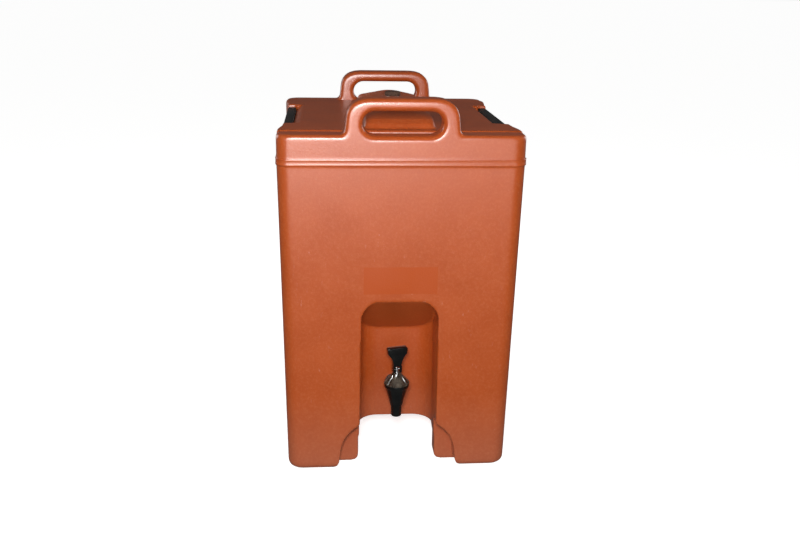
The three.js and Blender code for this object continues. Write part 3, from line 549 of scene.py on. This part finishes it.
def turned(name: str, profile: Sequence[tuple[float, float]], sides: int = 32,
           centre: Point = (0, 0, 0)) -> bpy.types.Object:
    """Turn a solid: a disc is extruded from level to level and sized at each.

    Args:
        name: the piece's name.
        profile: radius and height pairs in millimetres, from the first face to the last.
        sides: points round the circle.
        centre: the place of the axis, in millimetres.

    Returns:
        The new object.
    """
    cx, cy, cz = (c * MM for c in centre)
    radius, z = profile[0]
    bpy.ops.object.select_all(action="DESELECT")
    bpy.ops.mesh.primitive_circle_add(vertices=sides, radius=radius * MM, fill_type="NGON",
                                      location=(cx, cy, cz + z * MM))
    obj = fix_place(bpy.context.object)
    obj.name = name
    obj.data.name = name

    def work() -> None:
        """Extrude and size each level in turn."""
        bpy.ops.mesh.select_all(action="SELECT")
        r0, z0 = profile[0]
        for r1, z1 in profile[1:]:
            bpy.ops.mesh.extrude_region_move(
                TRANSFORM_OT_translate={"value": (0, 0, (z1 - z0) * MM)})
            bpy.ops.transform.resize(value=(r1 / r0, r1 / r0, 1), center_override=(cx, cy, cz + z1 * MM))
            r0, z0 = r1, z1
        bpy.ops.mesh.select_all(action="SELECT")
        bpy.ops.mesh.normals_make_consistent(inside=False)

    edit(obj, work)
    return obj


def turn_about(obj: bpy.types.Object, degrees: float, axis: str) -> bpy.types.Object:
    """Turn a piece's mesh about an axis through the origin."""
    obj.data.transform(Matrix.Rotation(math.radians(degrees), 4, axis))
    return obj


def merged_copy(node: str, name: str) -> bpy.types.Object:
    """Copy a frame node and merge its loose triangles into one skin.

    Args:
        node: the frame node's name.
        name: the copy's name.

    Returns:
        The copy.
    """
    obj = bpy.data.objects.new(name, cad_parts[node].data.copy())
    obj.data.name = name
    bpy.context.scene.collection.objects.link(obj)

    def work() -> None:
        """Merge the doubles."""
        bpy.ops.mesh.select_all(action="SELECT")
        bpy.ops.mesh.remove_doubles(threshold=1e-5)

    edit(obj, work)
    return obj


def refined(node: str, name: str, width_mm: float, segments: int = 3) -> bpy.types.Object:
    """Copy a frame node, clear its flat faces of needless edges and round its corners.

    Args:
        node: the frame node's name.
        name: the copy's name.
        width_mm: how wide its edges are rounded.
        segments: faces across the rounding.

    Returns:
        The finished copy.
    """
    obj = merged_copy(node, name)

    def work() -> None:
        """Dissolve the edges inside flat faces."""
        bpy.ops.mesh.select_all(action="SELECT")
        bpy.ops.mesh.dissolve_limited(angle_limit=math.radians(0.6))

    edit(obj, work)
    return soften_edges(obj, width_mm, segments)


def copy_of(obj: bpy.types.Object, name: str) -> bpy.types.Object:
    """Copy a finished piece with its own mesh.

    Args:
        obj: the piece.
        name: the copy's name.

    Returns:
        The copy.
    """
    new = obj.copy()
    new.data = obj.data.copy()
    new.name = name
    new.data.name = name
    bpy.context.scene.collection.objects.link(new)
    return new


def radial(obj: bpy.types.Object, centre: Point, move: Callable[[float, float, float], float]) -> None:
    """Move each point of a turned piece in or out from its axis.

    Args:
        obj: the piece.
        centre: the axis, in millimetres.
        move: gives the change of radius in millimetres for a radius, an angle in turns and a height.
    """
    cx, cy = centre[0] * MM, centre[1] * MM
    for vert in obj.data.vertices:
        dx, dy = vert.co.x - cx, vert.co.y - cy
        r = math.hypot(dx, dy)
        if r < 1e-6:
            continue
        k = (r + move(r / MM, math.atan2(dy, dx) / math.tau % 1, vert.co.z / MM) * MM) / r
        vert.co.x, vert.co.y = cx + dx * k, cy + dy * k


def moulded(obj: bpy.types.Object, voxel_mm: float, passes: int, triangles: int) -> bpy.types.Object:
    """Give a solid the soft edges of rotational moulding.

    Args:
        obj: a closed solid.
        voxel_mm: fineness of the new skin.
        passes: how many times it is smoothed.
        triangles: about how many triangles are kept.

    Returns:
        The same object with its new skin.
    """
    modify(obj, "REMESH", mode="VOXEL", voxel_size=voxel_mm * 1 * MM)
    modify(obj, "SMOOTH", factor=0.5, iterations=passes)
    count = sum(len(p.vertices) - 2 for p in obj.data.polygons)
    if count > triangles:
        modify(obj, "DECIMATE", ratio=triangles / count)
    only(obj)
    bpy.ops.object.shade_smooth()
    return obj


def dress(obj: bpy.types.Object, material: bpy.types.Material) -> bpy.types.Object:
    """Give an object one material."""
    obj.data.materials.clear()
    obj.data.materials.append(material)
    return obj


def place(obj: bpy.types.Object, body: str, slot: str, material: bpy.types.Material,
          *nodes: str) -> bpy.types.Object:
    """Dress a piece, hang it on its body and let it stand for frame nodes.

    Args:
        obj: the finished piece.
        body: the moving body that it rides on.
        slot: not used.
        material: its material.
        nodes: the frame nodes that it replaces.

    Returns:
        The same object.
    """
    dress(obj, material)
    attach(obj, body)
    if nodes:
        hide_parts(*nodes)
    log.info("%s on %s, %d faces", obj.name, body, len(obj.data.polygons))
    return obj


# ---------------------------------------------------------------- stage
@dataclass
class Studio:
    """A pale floor, soft light beside the camera and the camera itself."""

    lens_px: float = 905.8
    frame_px: float = 800
    eye: Point = (-127.3, -1736.4, 853.9)
    yaw: float = 4.849
    pitch: float = 17.299
    roll: float = 1.006
    floor_colour: str = "F4F4F3"
    floor_glow: float = 0.75
    floor_reach: float = 90000
    fibre_mm: float = 1000 / 300
    sky: float = 0.26
    sky_in_gloss: float = 0.08
    sky_seen: float = 0.9

    def view(self) -> Matrix:
        """Return the camera's place and direction."""
        yaw, pitch, roll = (math.radians(a) for a in (self.yaw, self.pitch, self.roll))
        ahead = Vector((math.sin(yaw) * math.cos(pitch), math.cos(yaw) * math.cos(pitch), -math.sin(pitch)))
        level = Vector((math.cos(yaw), -math.sin(yaw), 0))
        rise = level.cross(ahead)
        right = level * math.cos(roll) + rise * math.sin(roll)
        up = rise * math.cos(roll) - level * math.sin(roll)
        turn = Matrix((right, up, -ahead)).transposed()
        return Matrix.Translation(Vector(self.eye) * MM) @ turn.to_4x4()

    def set_camera(self) -> None:
        """Add the camera."""
        data = bpy.data.cameras.new("camera")
        data.sensor_width = 36
        data.lens = self.lens_px * data.sensor_width / self.frame_px
        data.clip_end = 200
        cam = bpy.data.objects.new("camera", data)
        cam.matrix_world = self.view()
        bpy.context.scene.collection.objects.link(cam)
        bpy.context.scene.camera = cam

    def lamp(self, name: str, at: Point, towards: Point, size: tuple[float, float],
             watts: float) -> bpy.types.Object:
        """Add one soft light that points at a place.

        Args:
            name: the light's name.
            at: its place, in metres.
            towards: the place it points at.
            size: its width and height.
            watts: its power.

        Returns:
            The light's object.
        """
        data = bpy.data.lights.new(name, "AREA")
        data.shape = "RECTANGLE"
        data.size, data.size_y = size
        data.energy = watts
        obj = bpy.data.objects.new(name, data)
        away = Vector(at) - Vector(towards)
        obj.matrix_world = Matrix.Translation(at) @ away.to_track_quat("Z", "Y").to_matrix().to_4x4()
        obj.visible_camera = False
        bpy.context.scene.collection.objects.link(obj)
        return obj

    def set_light(self) -> None:
        """Add the key beside the camera, two sheen panels, two rear lamps and the even sky."""
        self.lamp("key", (-0.16, -1.74, 1.00), (0, -0.26, 0.40), (0.25, 0.25), 23)
        high = self.lamp("sheen_panel_high", (-0.40, -1.75, 0.90), (0, -0.26, 0.60), (1.1, 0.8), 42)
        low = self.lamp("sheen_panel_low", (-0.05, -1.75, 0.36), (0, -0.26, 0.60), (2.2, 0.30), 9)
        for panel in (high, low):
            panel.visible_diffuse = False
        self.lamp("rear_left", (-1.7, 1.5, 0.9), (0, 0, 0.3), (1.0, 1.0), 11)
        self.lamp("rear_right", (1.9, 1.2, 0.9), (0, 0, 0.3), (1.0, 1.0), 11)
        world = bpy.data.worlds.new("sky")
        world.use_nodes = True
        tree = world.node_tree
        tree.nodes.clear()
        ray = add_node(tree, "ShaderNodeLightPath")
        dim = add_node(tree, "ShaderNodeMix", None, Factor=ray.outputs["Is Glossy Ray"])
        dim.inputs["A"].default_value = self.sky
        dim.inputs["B"].default_value = self.sky_in_gloss
        seen = add_node(tree, "ShaderNodeMix", None, Factor=ray.outputs["Is Camera Ray"],
                        A=dim.outputs["Result"])
        seen.inputs["B"].default_value = self.sky_seen
        back = add_node(tree, "ShaderNodeBackground", None, Color=linear("FFFFFF"),
                        Strength=seen.outputs["Result"])
        add_node(tree, "ShaderNodeOutputWorld", None, Surface=back.outputs[0])
        bpy.context.scene.world = world

    def set_floor(self) -> None:
        """Lay the floor, a wide sheet of white paper."""
        reach = self.floor_reach
        floor = block("floor", (-reach, -reach, -60), (reach, reach, -0.3))
        mat = blank_material("matt_white_paper")
        tree = mat.node_tree
        at = add_node(tree, "ShaderNodeTexCoord").outputs["Object"]
        fibre = noise(tree, at, self.fibre_mm)
        bump = add_node(tree, "ShaderNodeBump", None, Height=fibre, Strength=0.03, Distance=0.0003)
        shader = add_node(tree, "ShaderNodeBsdfPrincipled", None, Base_Color=linear(self.floor_colour),
                          Roughness=0.9, Normal=bump.outputs["Normal"])
        shader.inputs["Specular IOR Level"].default_value = 0.1
        shader.inputs["Emission Color"].default_value = (1, 1, 1, 1)
        shader.inputs["Emission Strength"].default_value = self.floor_glow
        add_node(tree, "ShaderNodeOutputMaterial", None, Surface=shader.outputs[0])
        dress(floor, mat)
        floor.visible_diffuse = False
        floor.visible_glossy = False

    def build(self) -> None:
        """Set up the whole stage."""
        bpy.context.scene.view_settings.view_transform = "Standard"
        self.set_camera()
        self.set_light()
        self.set_floor()


# ---------------------------------------------------------------- finishes in use
@dataclass
class Palette:
    """Every material of the object, made once."""

    shell: bpy.types.Material = field(default_factory=lambda: Polyethylene(
        "rotomoulded_polyethylene_terracotta", label_ghost=True).build())
    # the lid's tones are a little deeper and more saturated than the body's: painted shade that cancels the
    # grey sky reflection on its grazing top
    lid: bpy.types.Material = field(default_factory=lambda: Polyethylene(
        "rotomoulded_polyethylene_lid", colour="BC5218", deep="AA4610", roughness=0.36, scuffs=0.8).build())
    tank: bpy.types.Material = field(default_factory=lambda: Polyethylene(
        "rotomoulded_polyethylene_tank", roughness=0.4, scuffs=0.15).build())
    nylon: bpy.types.Material = field(default_factory=lambda: Plastic(
        "injection_moulded_nylon_black", "1C1B1A", "3B342E", 0.56, grain_depth=0.3, level=0.3).build())
    cap: bpy.types.Material = field(default_factory=lambda: Plastic(
        "injection_moulded_nylon_brown", "3C241A", "634A3A", 0.7, grain_depth=0.4, level=0.2).build())
    gloss: bpy.types.Material = field(default_factory=lambda: Plastic(
        "polished_polypropylene_black", "0B0C0C", "161615", 0.16, grain_depth=0.03, coat=0.3).build())
    # black gloss plastic with brown-grey tones mixed in: a painted reflection of the orange walls on the
    # bonnet's facets
    smoke: bpy.types.Material = field(default_factory=lambda: Plastic(
        "polished_polypropylene_brown_grey", "2A231D", "6B6154", 0.18, grain_depth=0.03, coat=0.3).build())
    foam: bpy.types.Material = field(default_factory=lambda: Plastic(
        "sprayed_polyurethane_foam", "D9C583", "C9B06A", 0.9, grain_mm=3.0, grain_depth=0.8).build())
    silicone: bpy.types.Material = field(default_factory=lambda: Plastic(
        "moulded_silicone_milky", "D8D4CC", "C8C2B6", 0.45, ior=1.43).build())
    rubber: bpy.types.Material = field(default_factory=lambda: Plastic(
        "moulded_epdm_rubber", "1E1E1E", "343331", 0.75, ior=1.5, grain_depth=0.3).build())
    steel: bpy.types.Material = field(default_factory=lambda: Steel("drawn_stainless_steel").build())


# ---------------------------------------------------------------- body
@dataclass
class Tub:
    """The double-walled body with its handles, deck and tap recess, and what is built into it."""

    palette: Palette
    voxel_mm: float = 2.2
    passes: int = 4
    triangles: int = 180000
    bead_proud: float = 1.2
    pocket_gap: float = 0.6
    past: float = 25
    bead_corner: float = 24
    bead_wall: float = 3.2
    bead_levels: tuple[tuple[float, float], ...] = (
        (564.6, -1.5), (565.8, 0.6), (567.0, 1.5), (568.6, 1.7), (570.0, 1.5), (571.6, 1.3),
        (574.6, 1.3), (575.8, 1.5), (576.8, 1.7), (577.6, 1.4), (577.9, 0.8))

    def shell(self) -> None:
        """Make the outer skin."""
        skin = moulded(merged_copy("outer_shell", "body_skin"), self.voxel_mm, self.passes, self.triangles)
        combine(skin, self.bead(), Solver.UNION)
        creased(skin, 38)
        place(skin, "tub", "terracotta_polyethylene", self.palette.shell, "outer_shell")

    def bead(self) -> bpy.types.Object:
        """Make the raised double line that runs round the body below the lid.

        Returns:
            The ring, open where the latches' pockets are.
        """
        low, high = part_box("outer_shell")
        half_w = high.x / MM - self.bead_proud
        half_d = high.y / MM - self.bead_proud
        foot, top = self.bead_levels[0][0], self.bead_levels[-1][0]
        ring = block("bead", (-half_w, -half_d, foot), (half_w, half_d, top))

        def work() -> None:
            """Round the corners, open the ends, and draw each level out to its own size."""
            pick_edges(lambda a, b: abs(a.z - b.z) > 0.001)
            bpy.ops.mesh.bevel(offset=self.bead_corner * MM, segments=10)
            pick_faces(lambda c, n: abs(n.z) > 0.9)
            bpy.ops.mesh.delete(type="ONLY_FACE")
            for z, _ in self.bead_levels[1:-1]:
                bpy.ops.mesh.select_all(action="SELECT")
                bpy.ops.mesh.bisect(plane_co=(0, 0, z * MM), plane_no=(0, 0, 1))
            for z, out in self.bead_levels:
                pick_verts(lambda v, z=z: abs(v.z - z * MM) < 1e-5)
                bpy.ops.transform.resize(value=(1 + out / half_w, 1 + out / half_d, 1),
                                         center_override=(0, 0, z * MM))

        edit(ring, work)
        modify(ring, "SOLIDIFY", thickness=self.bead_wall * MM, offset=-1)
        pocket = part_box("latch_left")[1].y / MM + self.pocket_gap
        log.info("latch pocket half %.2f", pocket)
        for side in Side:
            x = sorted((side.value * (half_w - self.past), side.value * (half_w + self.past)))
            cut = block("pocket_cut", (x[0], -pocket, foot - self.past), (x[1], pocket, top + self.past))
            combine(ring, cut, Solver.DIFFERENCE)
        return ring

    def lining(self) -> None:
        """Make the tank, the foam and the filling port's plug."""
        place(refined("inner_liner", "tank_liner", 2.5), "tub", "tank_polyethylene", self.palette.tank,
              "inner_liner")
        dress(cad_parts["foam_insulation"], self.palette.foam)
        place(refined("foam_port_plug", "port_plug", 0.6), "tub", "black_nylon", self.palette.nylon,
              "foam_port_plug")

    def build(self) -> None:
        """Make and dress the body's pieces."""
        self.shell()
        self.lining()


@dataclass
class Lid:
    """The lid with its skin, pan, foam, gasket and vent cap."""

    palette: Palette
    voxel_mm: float = 1.9
    passes: int = 3
    triangles: int = 170000
    thread_pitch: float = 3.0
    knurl_depth: float = 0.75
    knurl_points: int = 96

    def shell(self) -> None:
        """Make the lid's skin."""
        skin = moulded(merged_copy("lid_shell", "lid_skin"), self.voxel_mm, self.passes, self.triangles)
        place(skin, "lid", "lid_polyethylene", self.palette.lid, "lid_shell")

    def cap(self) -> None:
        """Make the vent's screw cap: a knurled rim, a dished crown and a stem with its thread."""
        low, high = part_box("vent_cap")
        top = high.z / MM
        rim = high.x / MM
        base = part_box("vent_seal")[1].z / MM + 0.3
        foot = low.z / MM
        profile = [(3.4, foot), (4.7, foot + 1.2)]
        z = foot + 2
        while z < base - 5:
            profile += [(4.7, z), (4.1, z + 0.9), (4.1, z + 1.5), (4.7, z + 2.4)]
            z += self.thread_pitch
        profile += [(4.7, base), (rim - 1.4, base), (rim - 0.5, base + 0.5), (rim, base + 1.4),
                    (rim, top - 3.6), (rim - 0.5, top - 2.4), (rim - 1.8, top - 1.4), (rim - 4.2, top - 0.9),
                    (rim - 5.2, top - 1.7), (rim - 9, top - 1.9), (rim - 12.5, top - 1.8), (0.4, top - 1.7)]
        cap = turned("vent_knob", profile, self.knurl_points)
        radial(cap, (0, 0, 0), lambda r, a, z: -self.knurl_depth
               if r > rim - 1 and round(a * self.knurl_points) % 4 > 1 else 0)
        creased(cap, 35)
        place(cap, "cap", "black_nylon", self.palette.cap, "vent_cap")

    def build(self) -> None:
        """Make and dress the lid's pieces."""
        self.shell()
        place(refined("lid_pan", "lid_underside", 2.0), "lid", "tank_polyethylene", self.palette.tank,
              "lid_pan")
        dress(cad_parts["lid_foam"], self.palette.foam)
        place(refined("lid_gasket", "gasket", 2.2), "lid", "silicone", self.palette.silicone, "lid_gasket")
        place(refined("vent_seal", "vent_washer", 0.5), "cap_thread", "silicone", self.palette.silicone,
              "vent_seal")
        self.cap()


@dataclass
class Latches:
    """Two side latches with their brackets, pins and screws."""

    palette: Palette
    rib_pitch: float = 9.0
    rib_count: int = 25
    groove_half: float = 1.3
    groove_tall: float = 9.0
    head: float = 2.4
    screw_pitch: float = 1.2

    def grip(self, side: Side) -> None:
        """Make one latch: its bar, leg and hinge barrels, with cross ribs along the finger edge.

        Args:
            side: the side that it stands on.
        """
        node = f"latch_{side.name.lower()}"
        bar = refined(node, f"latch_bar_{side.name.lower()}", 1.6, 3)
        low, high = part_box(node)
        inner = (low.x if side is Side.RIGHT else high.x) / MM
        top = high.z / MM
        for i in range(self.rib_count):
            y = (i - (self.rib_count - 1) / 2) * self.rib_pitch
            x = sorted((inner - side.value * 1.5, inner + side.value * 1.1))
            cut = block("groove", (x[0], y - self.groove_half, top - self.groove_tall),
                        (x[1], y + self.groove_half, top + 2))
            combine(bar, cut, Solver.DIFFERENCE)
        creased(bar, 35)
        place(bar, "latch_l" if side is Side.LEFT else "latch_r", "black_nylon", self.palette.nylon, node)

    def screw(self) -> bpy.types.Object:
        """Make one pan-head screw along +X with a cross recess, its head's seat at the origin."""
        low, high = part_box("bracket_screw_right_front")
        length = (high.x - low.x) / MM
        reach = length - self.head
        profile = [(0.3, -reach), (1.4, -reach + 2.5)]
        z = -reach + 3
        while z < -3:
            profile += [(1.95, z), (1.5, z + 0.6)]
            z += self.screw_pitch
        profile += [(1.95, -1), (1.95, 0.32), (3.9, 0.32), (3.95, 0.9), (3.4, 1.8), (2.2, 2.3),
                    (0.3, self.head)]
        screw = turned("screw", profile, 28)
        for half in ((2.0, 0.35), (0.35, 2.0)):
            combine(screw, block("slot", (-half[0], -half[1], 1.3), (half[0], half[1], 3)), Solver.DIFFERENCE)
        turn_about(screw, 90, "Y")
        creased(screw, 35)
        return screw

    def screws(self) -> None:
        """Copy the screw to the four places of the frame's own screws."""
        first = self.screw()
        for side in Side:
            for end in ("front", "rear"):
                node = f"bracket_screw_{side.name.lower()}_{end}"
                low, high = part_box(node)
                tip = high.x if side is Side.RIGHT else low.x
                seat = tip - side.value * self.head * MM
                copy = copy_of(first, f"screw_{side.name.lower()}_{end}")
                if side is Side.LEFT:
                    turn_about(copy, 180, "Z")
                copy.data.transform(Matrix.Translation((seat, (low.y + high.y) / 2, (low.z + high.z) / 2)))
                place(copy, "tub", "stainless_steel", self.palette.steel, node)
        bpy.data.objects.remove(first)

    def build(self) -> None:
        """Make all latch pieces."""
        for side in Side:
            word = side.name.lower()
            self.grip(side)
            place(refined(f"latch_bracket_{word}", f"hinge_bracket_{word}", 0.7), "tub", "black_nylon",
                  self.palette.nylon, f"latch_bracket_{word}")
            place(refined(f"latch_pin_{word}", f"hinge_pin_{word}", 0.6), "tub", "stainless_steel",
                  self.palette.steel, f"latch_pin_{word}")
        self.screws()


@dataclass
class Tap:
    """The no-drip tap: a conical body on a threaded shank, a ribbed bonnet, and a lever on a sprung stem."""

    palette: Palette
    bore: float = 7.0
    bore_top: float = 128.0
    chamber_floor: float = 120.0
    chamber_top: float = 136.0
    thread: float = 10.9
    thread_depth: float = 1.0
    thread_pitch: float = 3.0
    bonnet_points: int = 96

    def axis(self) -> Point:
        """Return the place of the tap's upright axis, in millimetres."""
        low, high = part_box("tap_stem")
        return (0.0, (low.y + high.y) / 2 / MM, 0.0)

    def lay(self, piece: bpy.types.Object) -> bpy.types.Object:
        """Lay a turned piece along the shank's axis, from the tap's own axis to the rear."""
        front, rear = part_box("tap_washer_outer")
        turn_about(piece, -90, "X")
        piece.data.transform(Matrix.Translation((0, self.axis()[1] * MM, (front.z + rear.z) / 2)))
        return piece

    def shank(self, length: float) -> bpy.types.Object:
        """Make the shank with its threaded end.

        Args:
            length: from the tap's axis to the shank's end, in millimetres.

        Returns:
            The new object.
        """
        profile = [(self.thread, 13), (self.thread, length - 36)]
        z = length - 34.0
        while z < length - 3:
            profile += [(self.thread, z), (self.thread - self.thread_depth, z + 1.2), (self.thread, z + 2.4)]
            z += self.thread_pitch
        profile += [(self.thread, length - 1), (10.2, length), (self.bore, length)]
        return self.lay(turned("shank", profile, 40))

    def body(self) -> None:
        """Make the conical body with its spout, its shank and the collar."""
        at = self.axis()
        low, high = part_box("tap_body")
        foot, top, wide = low.z / MM, high.z / MM, high.x / MM
        cone = turned("tap_spout", [
            (self.bore, self.bore_top), (self.bore, foot + 1.2), (7.8, foot), (9.0, foot), (9.6, foot + 0.8),
            (9.9, foot + 10), (10.3, foot + 19), (12.5, foot + 26), (15.2, foot + 37), (18.6, foot + 48),
            (21.6, top - 8), (22.3, top - 6.5), (wide - 0.4, top - 5.6), (wide, top - 4.6), (wide, top - 0.8),
            (wide - 0.6, top), (17.0, top), (14.0, self.chamber_top), (12.0, self.chamber_floor),
            (self.bore, self.chamber_floor)], 64, at)
        length = high.y / MM - at[1]
        combine(cone, self.shank(length), Solver.UNION)
        bore = turned("bore", [(self.bore, 5), (self.bore, length + 8)], 32)
        combine(cone, self.lay(bore), Solver.DIFFERENCE)
        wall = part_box("tap_washer_outer")[0].y / MM - 0.3 - at[1]
        collar = turned("collar", [(18.5, wall - 5), (20.0, wall - 4), (20.0, wall - 0.8), (19.2, wall)], 6)
        combine(cone, self.lay(collar), Solver.UNION)
        creased(cone, 32)
        place(cone, "tub", "black_gloss_plastic", self.palette.gloss, "tap_body")

    def bonnet(self) -> None:
        """Make the bonnet nut with its fan of ribs."""
        at = self.axis()
        low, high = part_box("tap_bonnet")
        foot, top, wide = low.z / MM, high.z / MM, high.x / MM
        cap = turned("tap_bonnet_nut", [
            (15.5, foot), (wide - 0.6, foot), (wide, foot + 0.6), (wide, foot + 2.6),
            (wide - 1.0, foot + 3.6), (18.6, foot + 8.0), (13.6, foot + 13.0), (9.8, top - 3.4),
            (9.2, top - 2.0), (8.8, top - 0.6), (8.2, top), (3.7, top), (3.7, foot + 11),
            (13.5, foot + 6)], self.bonnet_points, at)
        radial(cap, at, lambda r, a, z: -1.5 if 12 < r < wide + 1 and z > foot + 0.5
               and round(a * self.bonnet_points) % 8 in (3, 4, 5) else 0)
        creased(cap, 30)
        # the bonnet's brown-grey tones are a painted reflection; the plastic itself is black gloss
        place(cap, "tub", "black_gloss_plastic", self.palette.smoke, "tap_bonnet")

    def build(self) -> None:
        """Make all tap pieces."""
        self.body()
        self.bonnet()
        place(refined("tap_lever", "tap_paddle", 1.8, 4), "lever", "black_gloss_plastic", self.palette.gloss,
              "tap_lever")
        place(refined("tap_lever_pin", "paddle_pin", 0.3), "lever", "stainless_steel", self.palette.steel,
              "tap_lever_pin")
        place(refined("tap_stem", "valve_stem", 0.5), "stem", "stainless_steel", self.palette.steel,
              "tap_stem")
        place(refined("tap_seat_cup", "seat_cup", 0.8), "stem", "silicone", self.palette.silicone,
              "tap_seat_cup")
        place(refined("tap_washer_outer", "outer_washer", 0.7), "tub", "black_rubber", self.palette.rubber,
              "tap_washer_outer")
        place(refined("tap_washer_inner", "inner_washer", 0.7), "tub", "silicone", self.palette.silicone,
              "tap_washer_inner")
        place(refined("tap_lock_nut", "lock_nut", 0.9), "tub", "black_nylon", self.palette.nylon,
              "tap_lock_nut")


def main() -> None:
    """Build the stage and every piece in order."""
    logging.basicConfig(level=logging.INFO)
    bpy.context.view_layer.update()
    Studio().build()
    palette = Palette()
    Tub(palette).build()
    Lid(palette).build()
    Latches(palette).build()
    Tap(palette).build()


if __name__ == "__main__":
    main()
